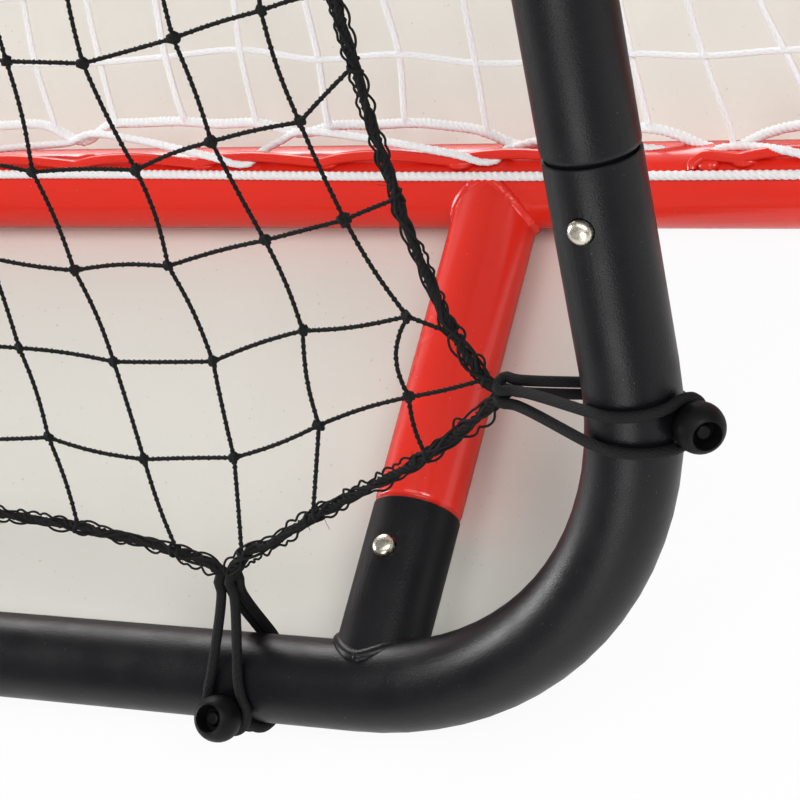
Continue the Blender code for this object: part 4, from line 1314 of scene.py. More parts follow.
@dataclass
class BallBungees:
    """Twelve elastic loops that hold the black net: each goes round the tube and hooks over a ball."""

    shop: Workshop
    elastic: Cord = Cord(0.0022, 12, 0.0018)
    ball_radius: float = 0.0101
    hole_radius: float = 0.0057
    hole_depth: float = 0.0068
    lip: float = 0.0007
    side_slip: float = 0.0065
    strand_gap: float = 0.0026
    rope_radius: float = 0.0015
    play: float = 0.0002
    rail_grip: Grip = Grip(radians(7.6), radians(-31), (0.0007, 0.0040), (0.0, 0.0015), 1.0)
    side_grip: Grip = Grip(radians(80), radians(44), (-0.0015, -0.0033), (-0.0012, 0.0019), 1.4)

    def ball(self, centre: Vector, hole_axis: Vector) -> Mesh:
        """Return a ball with a recess, and a peg with a rounded head in it.

        Args:
            centre: The ball's centre.
            hole_axis: The direction that the recess faces.
        """
        radius, hole, lip = self.ball_radius, self.hole_radius, self.lip
        mouth = sqrt(radius**2 - (hole + lip) ** 2)
        bed = mouth - self.hole_depth
        profile = [(0.0, -radius)]
        last = asin((hole + lip) / radius)
        for step in range(1, 19):
            angle = pi + (last - pi) * step / 18
            profile.append((radius * sin(angle), radius * cos(angle)))
        profile += [(hole + 0.3 * lip, mouth + 0.0001), (hole, mouth - 0.6 * lip), (hole - 0.0003, bed), (0, bed)]
        peg = [(0, bed - 0.0004), (0.0032, bed - 0.0004), (0.0031, bed + 0.0030), (0.0028, bed + 0.0037),
               (0.0019, bed + 0.0040), (0, bed + 0.0036)]
        return MeshWork.join([MeshWork.turned(profile, centre, hole_axis, 40),
                              MeshWork.turned(peg, centre, hole_axis, 24)])

    def route(self, berth: Berth) -> list[Vector]:
        """Return the cord's route, there and back beside itself.

        It leaves the ball, goes behind the tube, round the net's edge, over the front of the tube and
        round the ball.

        Args:
            berth: Where the bungee sits.
        """
        size, grip, sign = self.shop.layout, berth.grip, berth.sign
        wrap = size.tube_radius + self.elastic.radius + self.play
        centre = size.tube_radius + self.ball_radius + self.play
        flank = sqrt((self.ball_radius + self.elastic.radius + self.play) ** 2 - (centre - wrap) ** 2)

        def spot(shift: float, angle: float, distance: float) -> Vector:
            """Return a point round the tube."""
            return berth.axis_point + berth.tube * shift + swing(size.facing, berth.inward, -angle) * distance

        def at_net(shift: float, depth: float, height: float) -> Vector:
            """Return a point by the net's edge."""
            edge = berth.axis_point + berth.tube * (berth.slip + shift) + berth.inward * (berth.reach + depth)
            return edge + size.facing * height

        tangent = acos(wrap / berth.reach)
        rear_end, front_end = 1.5 * pi - tangent, tangent - 0.5 * pi
        exit_way = -swing(size.facing, berth.inward, -grip.hole_angle)
        eye = self.rope_radius + self.elastic.radius

        def strand(side: float) -> list[Vector]:
            """Return the route of the strand on one side."""
            gap = side * self.strand_gap
            ball = spot(gap * 0.9, grip.ball_angle, centre)
            points = [ball + exit_way * self.ball_radius * 0.7, ball + exit_way * self.ball_radius * 1.08]
            first = grip.ball_angle + radians(48)
            for index in range(9):
                share = index / 8
                shift = gap + sign * (grip.lean[1] + (grip.lean[0] - grip.lean[1]) * share)
                points.append(spot(shift, first + (rear_end - first) * share, wrap))
            points.append(at_net(sign * grip.hook[1] + gap, -eye, -eye * 0.55))
            for angle in (-0.9, 0.0, 0.9):
                weight = 0.5 - 0.5 * angle / 0.9
                shift = sign * (grip.hook[0] + (grip.hook[1] - grip.hook[0]) * weight) + gap
                points.append(at_net(shift, eye * cos(angle), eye * sin(angle)))
            points.append(at_net(sign * grip.hook[0] + gap * 1.2, -eye, eye * 0.55))
            start = sign * 0.0005 + side * 0.0068
            for index in range(5):
                share = index / 5
                shift = start + (side * flank - start) * share**grip.growth
                points.append(spot(shift, front_end + (grip.ball_angle - front_end) * share, wrap))
            for width, degrees, lift in ((1, 0, 0), (0.86, 15, 0.0018), (0.45, 23.5, 0.0040)):
                points.append(spot(side * flank * width, grip.ball_angle + radians(degrees), wrap + lift))
            return points

        crown = spot(0.0, grip.ball_angle + radians(26), wrap + 0.0046)
        return strand(-1) + [crown] + strand(1)[::-1]

    def bungee(self, word: str, berth: Berth) -> None:
        """Make one ball bungee.

        Args:
            word: Its place, as in the names of its CAD nodes.
            berth: Where it sits.
        """
        size = self.shop.layout
        self.shop.string(f"elastic_loop_{word}", Slot.ELASTIC, self.elastic,
                         [Route.smooth(self.route(berth), 0.0015)], [f"bungee_cord_{word}"])
        outward = swing(size.facing, berth.inward, -berth.grip.ball_angle)
        centre = berth.axis_point + outward * (size.tube_radius + self.ball_radius + self.play)
        ball = self.ball(centre, swing(size.facing, berth.inward, -berth.grip.hole_angle))
        self.shop.place(f"ball_{word}", ball, Slot.BALL, [f"bungee_ball_{word}"], sharp=50)

    def side_axis(self, side: Side, height: float) -> tuple[Vector, Vector]:
        """Return the point and the direction of a side tube's axis at a height on the slope."""
        size = self.shop.layout
        corner = size.lower_rail + RIGHT * side.value * size.rebounder_width / 2
        from_end = min(height, size.slope_length - height)
        drop = max(0.0, size.bend_radius - from_end)
        inset = size.bend_radius - sqrt(size.bend_radius**2 - drop**2)
        tilt = asin(drop / size.bend_radius) * (1 if height < size.slope_length / 2 else -1)
        direction = size.slope * cos(tilt) + RIGHT * side.value * sin(tilt)
        return corner + size.slope * height - RIGHT * side.value * inset, direction

    def build(self) -> None:
        """Make all twelve."""
        size = self.shop.layout
        for word, rail, inward in (("lower", size.lower_rail, size.slope), ("upper", size.upper_rail, -size.slope)):
            for index, place in enumerate(size.rail_stations()):
                sign = -1.0 if place < 0 else 1.0
                self.bungee(f"{word}_{index + 1}", Berth(rail + RIGHT * place, RIGHT, inward, size.rail_net_gap,
                                                         0.0, sign, self.rail_grip))
        for side in Side:
            for index, height in enumerate(size.side_stations()):
                sign = 1.0 if index == 0 else -1.0
                slip = self.side_slip * (sign if index != 1 else 0.0)
                axis_point, tube = self.side_axis(side, height - slip)
                edge = size.on_net(side.value * (size.rebounder_width / 2 - size.side_net_gap), height)
                to_net = edge - axis_point
                along = to_net.dot(tube)
                inward = to_net - tube * along
                self.bungee(f"{side.word}_{index + 1}", Berth(axis_point, tube, inward.normalized(),
                                                              inward.length, along, sign, self.side_grip))


class Polygon:
    """A closed outline in two axes."""

    def __init__(self, corners: Sequence[Point]) -> None:
        """Keep the corners in order."""
        self.corners = list(corners)

    def sides(self) -> Iterable[tuple[Point, Point]]:
        """Return each side's two ends."""
        return zip(self.corners, self.corners[1:] + self.corners[:1])

    def holds(self, u: float, v: float) -> bool:
        """Return whether a point lies inside."""
        inside = False
        for (ax, ay), (bx, by) in self.sides():
            if (ay > v) != (by > v) and u < (bx - ax) * (v - ay) / (by - ay) + ax:
                inside = not inside
        return inside

    def crossing(self, start: Point, end: Point) -> Point:
        """Return where a line from inside to outside crosses the outline."""
        best = 1.0
        dx, dy = end[0] - start[0], end[1] - start[1]
        for (ax, ay), (bx, by) in self.sides():
            ex, ey = bx - ax, by - ay
            cross = dx * ey - dy * ex
            if abs(cross) < 1e-12:
                continue
            share = ((ax - start[0]) * ey - (ay - start[1]) * ex) / cross
            along = ((ax - start[0]) * dy - (ay - start[1]) * dx) / cross
            if 0 <= along <= 1 and 0 < share < best:
                best = share
        return start[0] + dx * best, start[1] + dy * best

    def margin(self, u: float, v: float) -> float:
        """Return the distance from a point to the outline."""
        best = 1e9
        for (ax, ay), (bx, by) in self.sides():
            ex, ey = bx - ax, by - ay
            share = max(0.0, min(1.0, ((u - ax) * ex + (v - ay) * ey) / max(ex * ex + ey * ey, 1e-12)))
            best = min(best, hypot(u - ax - ex * share, v - ay - ey * share))
        return best

    def clip(self, line: Sequence[Point]) -> list[list[Point]]:
        """Return the parts of a line that lie inside, each ending on the outline."""
        parts: list[list[Point]] = []
        for start, end in zip(line, line[1:]):
            first, second = self.holds(*start), self.holds(*end)
            if first:
                if not parts or parts[-1][-1] != start:
                    parts.append([start])
                parts[-1].append(end if second else self.crossing(start, end))
            elif second:
                parts.append([self.crossing(end, start), end])
        return parts


@dataclass
class ReboundNet:
    """The black knotted net with its bundled edge rope, pulled out of square by the bungees."""

    shop: Workshop
    pitch_across: float = 0.04506
    pitch_along: float = 0.0450
    rail_scallop: float = 0.0300
    side_scallop: float = 0.0435
    scallop_power: float = 0.465
    corner_wave: float = 0.0035
    corner_pull: float = 0.0055
    slack_place: tuple[int, int] = (11, 10)
    slack_bow: float = 0.0055
    knot_size: float = 0.00074
    twine: Cord = Cord(0.00098, 8, 0.0016, 2, 0.24, 0.0052)
    knot: Cord = Cord(1.2 * 0.00098, 6, 0.0016)
    core: Cord = Cord(0.0017, 12, 0.0020, 3, 0.3, 0.009)
    thread: Cord = Cord(0.00068, 5, 0.0028)
    chain: Cord = Cord(0.00055, 5, 0.0013)
    tie: Cord = Cord(0.85 * 0.00098, 6, 0.0016)
    fluff: Cord = Cord(0.00011, 4, 0.0016)

    def pulls(self) -> dict[tuple[int, int], tuple[float, float]]:
        """Return how far the corner's knots are pulled, in mm, by column and row from the middle."""
        rows = {
            7: (9, ((-22.2, -15.9), (-22.0, -6.9), (-24.5, 2.8))),
            8: (8, ((-15.1, -16.6), (-8.8, -16.2), (-15.0, -4.6), (-17.8, 2.8), (-18.7, 36.4))),
            9: (8, ((-6.3, -15.1), (-4.2, -12.8), (-0.3, -1.3), (-6.8, 7.5), (-12.2, 21.3))),
            10: (7, ((0.0, -6.0), (2.3, -11.2), (6.8, -9.8), (8.1, 4.9), (12.4, 12.0), (-2.5, 0.7))),
            11: (7, ((3.3, -2.9), (5.5, -11.3), (6.2, -8.5), (6.0, 8.1), (5.5, 22.1), (10.2, 34.4))),
            12: (7, ((7.5, -7.4), (12.4, -18.7), (-3.9, -24.6), (-10.2, -0.6), (9.0, 31.0))),
        }
        return {(first + index, row): pull for row, (first, pulls) in rows.items()
                for index, pull in enumerate(pulls)}

    def crossing(self, column: int, row: int, pulls: dict, chance: random.Random) -> Point:
        """Return a knot's place across and up the net.

        Args:
            column: Its column, counted from the middle.
            row: Its row, counted down from the middle.
            pulls: The pulls of the corner's knots.
            chance: Source of small irregularities.
        """
        total, across, along, nearest = 0.0, 0.0, 0.0, 1e9
        for (there, level), (du, dv) in pulls.items():
            away = hypot(abs(column) - there, abs(row) - level)
            if away < 0.01:
                total, across, along, nearest = 1.0, du, dv, 0.0
                break
            weight = away**-4
            total, across, along = total + weight, across + weight * du, along + weight * dv
            nearest = min(nearest, away)
        fade = max(0.0, 1 - nearest / 5.0)
        fade = fade * fade * (3 - 2 * fade) / total / 1000
        loose = 0.0 if nearest == 0 else 0.003
        noise = (chance.uniform(-loose, loose), chance.uniform(-loose, loose))
        sign_across, sign_along = copysign(1, column), copysign(1, row)
        middle = self.shop.layout.slope_length / 2
        return (self.pitch_across * column + sign_across * across * fade + noise[0],
                middle - self.pitch_along * row + sign_along * along * fade + noise[1])

    def stops(self) -> list[Point]:
        """Return where the bungees hold the edge rope, anticlockwise from the left of the lower rail."""
        size = self.shop.layout
        rails, sides = size.rail_stations(), size.side_stations()
        right = size.rebounder_width / 2 - size.side_net_gap
        low, top = size.rail_net_gap, size.slope_length - size.rail_net_gap
        return [*((u, low) for u in rails), *((right, v) for v in sides), *((-u, top) for u in rails),
                *((-right, v) for v in sides[::-1])]

    def outline(self) -> list[Point]:
        """Return the line of the edge rope: scallops between the bungees, and a wave at each corner."""
        size, stops, corners = self.shop.layout, self.stops(), []
        for start, stop in zip(stops, stops[1:] + stops[:1]):
            on_rail, on_side = start[1] == stop[1], start[0] == stop[0]
            depth = self.rail_scallop if on_rail else self.side_scallop if on_side else 0.0
            rise = 1 if start[1] + stop[1] < size.slope_length else -1
            inward = (-copysign(1, start[0]), 0) if on_side else (0, rise)
            for step in range(40):
                share = 0.5 - 0.5 * cos(pi * step / 40)
                sag = depth * sin(pi * share) ** self.scallop_power if step else 0.0
                if step and not depth:
                    away = share if abs(start[0]) == size.rail_stations()[-1] else 1 - share
                    sag = self.corner_wave * sin(tau * away)
                    sag += self.corner_pull * exp(-(((away - 0.08) / 0.07) ** 2))
                corners.append((start[0] + (stop[0] - start[0]) * share + inward[0] * sag,
                                start[1] + (stop[1] - start[1]) * share + inward[1] * sag))
        return corners

    def column(self, places: dict, column: int, rows: Iterable[int]) -> list[Point]:
        """Return the points of a column of strands; near each corner one strand bows to the middle.

        Args:
            places: The knots' places by column and row.
            column: The column, counted from the middle.
            rows: The rows, counted down from the middle.
        """
        line = []
        place, level = self.slack_place
        for row in rows:
            start = places[column, row]
            line.append(start)
            if abs(column) == place and row in (level, -level - 1):
                end = places[column, row + 1]
                for step in range(1, 8):
                    share = step / 8
                    bow = copysign(self.slack_bow, column) * sin(pi * share)
                    line.append((start[0] + (end[0] - start[0]) * share - bow,
                                 start[1] + (end[1] - start[1]) * share))
        return line

    def build(self) -> None:
        """Make the strands, the knots and the edge rope."""
        size = self.shop.layout
        chance = random.Random(4)
        pulls = self.pulls()
        edge = Polygon(self.outline())
        columns, rows = range(-13, 14), range(-13, 14)
        places = {(c, r): self.crossing(c, r, pulls, chance) for r in rows for c in columns}
        lifts = {key: chance.uniform(-0.0006, 0.0006) for key in places}
        lines = {"columns": [self.column(places, c, rows) for c in columns],
                 "rows": [[places[c, r] for c in columns] for r in rows]}
        ends = []
        middle = size.slope_length / 2
        replaced = ["rebounder_net"]
        for word, group in lines.items():
            halves: dict[str, list[list[Vector]]] = {"first": [], "second": []}
            for number, line in enumerate(group):
                for part in edge.clip(line):
                    points = [size.on_net(u, v) for u, v in part]
                    ends += [points[0], points[-1]]
                    path = self.slack(points, 100 * number + len(part))
                    spot = sum((p[1] if word == "rows" else p[0] + middle) for p in part) / len(part)
                    halves["first" if spot < middle else "second"].append(path)
            for half, paths in halves.items():
                self.shop.string(f"net_strands_{word}_{half}", Slot.TWINE, self.twine, paths, replaced)
                replaced = []
        inner = [key for key, (u, v) in places.items() if edge.holds(u, v) and edge.margin(u, v) > 0.004]
        self.knots([size.on_net(*places[key], lifts[key]) for key in inner])
        self.edge_rope([size.on_net(u, v) for u, v in edge.corners], ends)

    def slack(self, points: Line, seed: int) -> list[Vector]:
        """Return a strand with a little slack between its knots."""
        size = self.shop.layout
        chance = random.Random(seed)
        path = [points[0]]
        for start, end in zip(points, points[1:]):
            run = end - start
            across = run.cross(size.facing).normalized()
            ease = min(1.0, run.length / 0.03)
            bow, lift = chance.gauss(0, 0.0007) * ease, chance.gauss(0, 0.0008) * ease
            for step in range(1, 9):
                share = step / 8
                arch = sin(pi * share)
                path.append(start + run * share + across * arch * bow + size.facing * arch * lift)
        return path

    def knots(self, spots: Line) -> None:
        """Tie a knot at each crossing."""
        size = self.shop.layout
        loop = []
        for step in range(22):
            turn = tau * step / 22
            arm = 1.9 + cos(3 * turn)
            loop.append(Vector((arm * cos(2 * turn), arm * sin(2 * turn), sin(3 * turn))) * self.knot_size)
        shade = self.shop.materials[Slot.TWINE]
        template = self.shop.loom.weave([loop + loop[:1]], shade, self.knot)
        normals = [size.facing] * len(spots)
        runs = [(RIGHT + size.slope).normalized()] * len(spots)
        mesh = self.shop.beads.lay(spots, normals, runs, template, shade, 0.10, 0.5, 21)
        self.shop.place("net_knots", mesh, Slot.TWINE, sharp=0)

    def edge_rope(self, corners: Line, ends: Line) -> None:
        """Make the edge: a twisted core, chains of small loops down both sides, and wound threads.

        Args:
            corners: The line that it follows.
            ends: Where the net's strands are tied to it.
        """
        size = self.shop.layout
        line = Route.smooth([*corners, corners[0]], 0.0014)
        chance = random.Random(8)
        shade = self.shop.materials[Slot.TWINE]
        core = Route.wander(line, size.facing, size.slope, 0.0003, 0.05, 3)
        self.shop.string("net_edge_core", Slot.TWINE, self.core, [core])
        count = len(line)
        run = sum((b - a).length for a, b in zip(line, line[1:])) / count
        alongs = [(line[(i + 1) % count] - line[i - 1]).normalized() for i in range(count)]
        sides = [along.cross(size.facing) for along in alongs]
        held = [size.on_net(*stop) for stop in self.stops()]
        swell = []
        for point in line:
            away = min((point - spot).length for spot in held)
            swell.append(1 + 0.5 * exp(-(((away - 0.018) / 0.012) ** 2))
                         - 0.35 * exp(-((away / 0.006) ** 2)))
        threads = []
        for _ in range(5):
            turn = chance.choice((-1, 1)) * chance.uniform(0.022, 0.050) / run
            phase = chance.uniform(0, 6.28)
            angles = [tau * index / turn + phase for index in range(count)]
            reach = [(0.0017 + 0.0006 * sin(index * run / 0.011 + phase)) * swell[index]
                     for index in range(count)]
            threads.append([point + (side * cos(angle) + size.facing * sin(angle) * 0.9) * away
                            for point, side, angle, away in zip(line, sides, angles, reach)])
        chains = []
        for hand in (-1, 1):
            path, beat = [], 0.0
            swells = [chance.choice((0.2, 0.6, 1.0, 1.2)) for _ in range(count)]
            for index, (point, side) in enumerate(zip(line, sides)):
                beat += run / (0.0078 + 0.0028 * sin(index * run / 0.037 + hand))
                bulge = abs(sin(pi * beat)) ** 0.6 * swells[int(beat)]
                path.append(point + side * hand * (0.0018 + 0.0019 * bulge) * swell[index]
                            + size.facing * 0.0006 * cos(pi * beat))
            chains.append(path)
        mesh = MeshWork.join([self.shop.loom.weave(threads, shade, self.thread),
                              self.shop.loom.weave(chains, shade, self.chain)])
        self.shop.place("net_edge_threads", mesh, Slot.TWINE, sharp=0)
        ties, fluff = [], []
        for end in ends:
            near = min(range(count), key=lambda i: (line[i] - end).length_squared)
            turns, width = chance.choice((-1, 1)) * chance.uniform(1.1, 2.0), chance.uniform(0.005, 0.010)
            start, path = chance.uniform(0, 6.28), []
            for step in range(25):
                angle = start + tau * turns * step / 24
                path.append(line[near] + sides[near] * cos(angle) * 0.0025
                            + size.facing * sin(angle) * 0.0024 + alongs[near] * width * (step / 24 - 0.5))
            ties.append(path)
            for _ in range(chance.choice((0, 2, 4))):
                root = line[(near + chance.randrange(-4, 5)) % count]
                way = (sides[near] * chance.choice((-1, 1)) + alongs[near] * chance.uniform(-0.8, 0.8)
                       + size.facing * chance.uniform(-0.4, 0.6)).normalized()
                bend = alongs[near] * chance.uniform(-0.0015, 0.0015)
                length = chance.uniform(0.0045, 0.0085)
                fluff.append([root + way * length * share + bend * share**2 for share in (0.2, 0.5, 0.8, 1.0)])
        mesh = MeshWork.join([self.shop.loom.weave(ties, shade, self.tie),
                              self.shop.loom.weave(fluff, shade, self.fluff)])
        self.shop.place("net_edge_ties", mesh, Slot.TWINE, sharp=0)


@dataclass
class GoalNet:
    """The white braided net: the sloping back panel and two side panels, with rope and lacing."""

    shop: Workshop
    column_pitch: float = 0.0397
    column_phase: float = 0.0132
    row_pitch: float = 0.0325
    strand: Cord = Cord(0.0016, 6, 0.0042)
    selvedge: Cord = Cord(0.0023, 10, 0.0013, 3, 0.12, 0.0080)
    rope: Cord = Cord(0.0020, 16, 0.0009, 3, 0.11, 0.0105)
    lacing: Cord = Cord(0.0019, 12, 0.0016, 3, 0.08, 0.012)
    offset: float = 0.0335
    corner_rise: float = 0.110
    catches: tuple[float, ...] = (0.000, 0.115, 0.228, 0.352, 0.468, 0.563)
    catch_depths: tuple[float, ...] = (0.0085, 0.0070, 0.0085, 0.0055, 0.0095, 0.0115)
    catch_spreads: tuple[float, ...] = (0.013, 0.016, 0.013, 0.016, 0.016, 0.022)
    touches: tuple[float, ...] = (0.050, 0.150, 0.324, 0.453, 0.505, 0.611)
    sink: float = 0.0075

    def slip(self, place: float, height: float) -> Point:
        """Return how far a crossing of the back panel lies from the even grid, across and along.

        Args:
            place: Its place across, from the middle.
            height: Its height on the slope.
        """
        outer = max(0.0, min(0.11, abs(place) - 0.495)) * max(0.0, min(1.0, 1 - (abs(place) - 0.62) / 0.14))
        pull = max(0.0, min(0.2, 0.08 + 3.2 * (height - 0.059))) * max(0.0, 1 - height / 0.6)
        drop = self.sink / (1 + exp(-(abs(place) - 0.40) / 0.04)) * max(0.0, 1 - height / 0.5)
        return -copysign(outer * pull, place), -drop

    def panel(self, name: str, outline: Sequence[Point], base: float, origin: Vector, across: Vector,
              along: Vector, seed: int, slips: bool = False) -> None:
        """Make one panel: its strands and its selvedge.

        Args:
            name: The CAD node that it replaces.
            outline: Its outline in the two axes.
            base: Where the rows are counted from.
            origin: The origin of the axes.
            across: The first axis.
            along: The second axis.
            seed: Seed of its slack.
            slips: Whether its crossings have slipped.
        """
        edge = Polygon(outline)
        chance = random.Random(seed)
        us = [corner[0] for corner in outline]
        vs = [corner[1] for corner in outline]
        columns = range(floor(min(us) / self.column_pitch), ceil(max(us) / self.column_pitch) + 1)
        rows = range(ceil((max(vs) - base) / self.row_pitch) + 1)
        places = {}
        for column in columns:
            for row in rows:
                u, v = self.column_phase + self.column_pitch * column, base + self.row_pitch * row
                du, dv = self.slip(u, v) if slips else (0.0, 0.0)
                places[column, row] = (u + du + chance.gauss(0, 0.0012), v + dv + chance.gauss(0, 0.0012))
        normal = across.cross(along)
        groups = {"columns": [[(places[c, 0][0], min(vs) - 0.01)] + [places[c, r] for r in rows] for c in columns],
                  "rows": [[places[c, r] for c in columns] for r in rows[1:]]}
        replaced = [name]
        for word, lines in groups.items():
            paths = []
            for line in lines:
                for part in edge.clip(line):
                    points = [origin + across * u + along * v + normal * chance.gauss(0, 0.0008) for u, v in part]
                    if len(points) > 1:
                        paths.append(Route.smooth(points, 0.008))
            self.shop.string(f"{name}_{word}", Slot.WHITE, self.strand, paths, replaced)
            replaced = []
        corners = [origin + across * u + along * v for u, v in outline]
        rim = []
        for start, end in zip(corners, corners[1:] + corners[:1]):
            pieces = max(1, round((end - start).length / 0.03))
            rim += [start.lerp(end, piece / pieces) for piece in range(pieces)]
        line = Route.wander(Route.smooth([*rim, rim[0]], 0.006), across, along, 0.0008, 0.05, seed)
        self.shop.string(f"{name}_selvedge", Slot.WHITE, self.selvedge, [line])

    def back_outline(self) -> list[Point]:
        """Return the outline of the back panel."""
        size = self.shop.layout
        edge = size.goal_width / 2 - 0.0018
        low, high = self.offset, size.slope_length - self.offset
        bend = size.goal_width / 2 - size.bend_radius
        drop = size.bend_radius / 2
        shoulder = bend + 0.6 * size.bend_radius
        half = [(bend, low), (edge, low + self.corner_rise), (edge, high - 1.2 * drop),
                (shoulder, high - 0.5 * drop), (bend - drop / 2, high)]
        foot = [-bend + 2 * bend * step / 240 for step in range(1, 240)]
        return half + [(-u, v) for u, v in half[::-1]] + [(u, self.foot_line(abs(u))) for u in foot]

    def foot_line(self, place: float) -> float:
        """Return the height on the slope of the net's lower edge, pulled down where the lacing catches it.

        Args:
            place: Distance from the middle.
        """
        pull = max(depth * exp(-((place - catch) / spread) ** 2)
                   for catch, depth, spread in zip(self.catches, self.catch_depths, self.catch_spreads))
        settle = 0.006 / (1 + exp(-(place - 0.40) / 0.04))
        return self.offset - settle - pull

    def side_outline(self) -> list[Point]:
        """Return the outline of a side panel, across and up."""
        size = self.shop.layout
        sole, post = 2 * size.tube_radius + 0.0003, size.crossbar.y - size.tube_radius - 0.0003
        rear = size.rear_bar.y

        def on_slope(height: float) -> Point:
            """Return the point of the sloping edge at a height."""
            return rear - 0.002 + (height - size.tube_radius) / tan(size.lean), height

        bend_y, bend_z = size.crossbar.y - size.bend_radius, size.tube_radius + size.bend_radius
        inner = size.bend_radius - size.tube_radius - 0.001
        toe = size.tube_radius + (self.offset + self.corner_rise) * sin(size.lean)
        crown = size.crossbar_height - 0.6 * size.bend_radius
        outline = [on_slope(toe), (rear + size.bend_radius, sole), (bend_y, sole)]
        for step in range(1, 8):
            angle = -pi / 2 * (1 - step / 8)
            outline.append((bend_y + inner * cos(angle), bend_z + inner * sin(angle)))
        return outline + [(post, bend_z), (post, crown), on_slope(crown)]

    def rope_and_lacing(self) -> None:
        """Make the straight rope on the rear bar and the lacing between the net and the wire."""
        size = self.shop.layout
        half = size.goal_width / 2 - 0.152
        tube = size.tube_radius

        def on_bar(place: float, degrees: float, distance: float) -> Vector:
            """Return a point round the rear bar."""
            return size.rear_bar + RIGHT * place + swing(UP, BACK, radians(degrees)) * distance

        def at_edge(place: float, rise: float, lift: float) -> Vector:
            """Return a point at the net's lower edge."""
            height = self.foot_line(abs(place)) + rise
            return size.rear_bar + RIGHT * place + size.slope * height + size.facing * lift

        stations = [-half + 2 * half * index / 200 for index in range(201)]
        line = [on_bar(x, -13 - 4.5 * tanh((abs(x) - 0.33) / 0.1), tube + self.rope.radius) for x in stations]
        self.shop.string("goal_net_rope", Slot.WHITE, self.rope, [line], ["goal_net_border_rope"])
        points = [at_edge(0.0, 0.002, 0.0045)]
        for number, touch in enumerate(self.touches):
            if number:
                catch = self.catches[number]
                points += [at_edge(catch - 0.006, -0.002, 0.0020), at_edge(catch, 0.002, 0.0045),
                           at_edge(catch + 0.010, 0.001, 0.0045)]
            points += [on_bar(touch - 0.012, 5, tube + 0.0064), on_bar(touch, 0.5, tube + 0.0032)]
            if number < len(self.touches) - 1:
                points += [on_bar(touch + 0.006, 4, tube + 0.0020), on_bar(touch + 0.0095, 20, tube + 0.0025)]
        mirrored = [Vector((-point.x, point.y, point.z)) for point in points[:0:-1]]
        self.shop.string("goal_net_lacing", Slot.WHITE, self.lacing, [Route.smooth(mirrored + points, 0.003)],
                         ["goal_net_lacing_cord"])

    def build(self) -> None:
        """Make the three panels, the rope and the lacing."""
        size = self.shop.layout
        self.panel("goal_net_back", self.back_outline(), self.offset, size.rear_bar, RIGHT, size.slope, 51,
                   True)
        for side in Side:
            origin = Vector((side.value * size.goal_width / 2, 0, 0))
            self.panel(f"goal_net_side_{side.word}", self.side_outline(), 2 * size.tube_radius, origin, BACK, UP,
                       60 + side.value)
        self.rope_and_lacing()


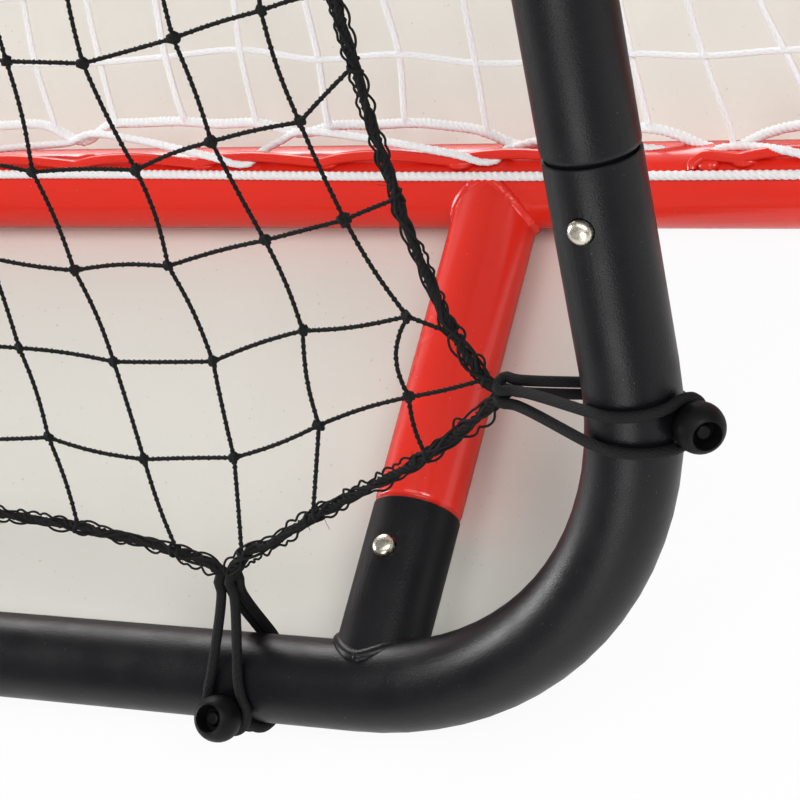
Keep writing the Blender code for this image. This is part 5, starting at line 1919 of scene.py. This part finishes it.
@dataclass
class Studio:
    """The floor, the lamps and the camera."""

    layout: Layout
    eye: tuple[float, float, float] = (1.0864, -0.8352, 1.0735)
    azimuth: float = radians(54.7)
    elevation: float = radians(52.6)
    roll: float = radians(-46.3)
    lens: float = 135.4
    aim: tuple[float, float, float] = (0.3, -0.2, 0.2)
    ambient: float = 0.29
    backdrop: float = 0.97

    def camera(self) -> None:
        """Set the camera at the photograph's viewing angle."""
        data = bpy.data.cameras.new("camera")
        data.sensor_width = 36
        data.lens = self.lens
        data.clip_start = 0.01
        forward = Vector((-sin(self.azimuth) * cos(self.elevation),
                          cos(self.azimuth) * cos(self.elevation), -sin(self.elevation)))
        level = forward.cross(UP).normalized()
        above = level.cross(forward)
        axes = (swing(level, above, self.roll), swing(above, level, -self.roll), -forward)
        item = shown("camera", data)
        item.matrix_world = Matrix.Translation(self.eye) @ Matrix(axes).transposed().to_4x4()
        bpy.context.scene.camera = item

    def hidden_on_floor(self, point: Vector) -> Vector:
        """Return the spot of the floor that a point hides from the camera."""
        eye = Vector(self.eye)
        share = eye.z / (eye.z - point.z)
        return eye + (point - eye) * share

    def mat_outline(self) -> list[Vector]:
        """Return the outline of the cream mat, whose front and right edges lie behind the tubes."""
        size = self.layout
        half = size.rebounder_width / 2
        stock = TubeStock(size)
        corner = [size.lower_rail - RIGHT * 2, size.lower_rail + RIGHT * half,
                  size.lower_rail + RIGHT * half + size.slope * 1.2]
        line = [self.hidden_on_floor(point) for point, _ in stock.path(corner)[:-1]]
        last = self.hidden_on_floor(corner[2])
        bar = self.hidden_on_floor(size.rear_bar)
        share = (bar.y - line[-1].y) / (last.y - line[-1].y)
        line.append(line[-1].lerp(last, share))
        line.append(self.hidden_on_floor(size.rear_bar + RIGHT * 2))
        return [*line, Vector((4, 4, 0)), Vector((-3, 4, 0)), Vector((-3, line[0].y, 0))]

    def floor(self) -> None:
        """Lay the white floor, and the cream mat that the goal stands on."""
        sheets = (
            ("studio_floor", [Vector((x, y, 0)) for x, y in ((-30, -30), (30, -30), (30, 30), (-30, 30))], -0.0008,
             StudioFloor("white_floor", Slot.WHITE, (0.88, 0.88, 0.88), 0.6, glow=0.93)),
            ("studio_mat", self.mat_outline(), -0.0004,
             StudioFloor("cream_mat", Slot.WHITE, (0.83, 0.82, 0.75), 0.22, specks=0.3, dim=0.6, reach=1.1)),
        )
        for name, outline, height, finish in sheets:
            points = [Vector((point.x, point.y, height)) for point in outline]
            mesh = bpy.data.meshes.new(name)
            mesh.from_pydata([tuple(point) for point in points], [], [tuple(range(len(points)))])
            mesh.materials.append(finish.build())
            item = shown(name, mesh)

    def lamps(self) -> None:
        """Hang the soft area lamps: each by its place, its width and its power in watts."""
        for name, place, size, power in (
            ("lamp_top", (0.5, -0.9, 3.4), 2.0, 22),
            ("lamp_back", (-1.6, 2.7, 0.9), 2.0, 88),
            ("lamp_front", (0.8, -3.2, 1.0), 1.8, 28),
            ("lamp_right", (2.4, -0.9, 2.6), 1.4, 48),
            ("lamp_left", (-3.0, -0.5, 0.8), 1.4, 76),
        ):
            data = bpy.data.lights.new(name, "AREA")
            data.shape = "DISK"
            data.size = size
            data.energy = power
            item = shown(name, data)
            item.location = place
            item.rotation_mode = "QUATERNION"
            item.rotation_quaternion = (Vector(self.aim) - Vector(place)).to_track_quat("-Z", "Y")

    def sky(self) -> bpy.types.World:
        """Return the world: an even soft light, which shows as the white backdrop itself."""
        world = bpy.data.worlds.new("studio_world")
        world.use_nodes = True
        sheet = NodeSheet(world.node_tree)
        rays = sheet.add("ShaderNodeLightPath").outputs
        seen = sheet.math("MAXIMUM", rays["Is Camera Ray"], rays["Is Transmission Ray"])
        light = world.node_tree.nodes["Background"]
        sheet.feed(light, "Color", (1, 1, 1, 1))
        sheet.feed(light, "Strength", sheet.math("MULTIPLY_ADD", seen, self.backdrop - self.ambient, self.ambient))
        return world

    def build(self) -> None:
        """Set up everything round the object."""
        self.camera()
        self.floor()
        self.lamps()
        bpy.context.scene.world = self.sky()
        bpy.context.scene.view_settings.view_transform = "Standard"


def main() -> None:
    """Build every sub-assembly in order and report its pieces."""
    logging.basicConfig(level=logging.INFO, format="%(message)s", stream=sys.stdout)
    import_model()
    layout = Layout()
    Studio(layout).build()
    shop = Workshop(layout)
    for assembly in (RebounderFrame(shop), GoalFrame(shop), SnapClips(shop), BallBungees(shop),
                     ReboundNet(shop), GoalNet(shop)):
        assembly.build()
    LOG.info("all pieces: %d triangles", shop.total)


if __name__ == "__main__":
    main()
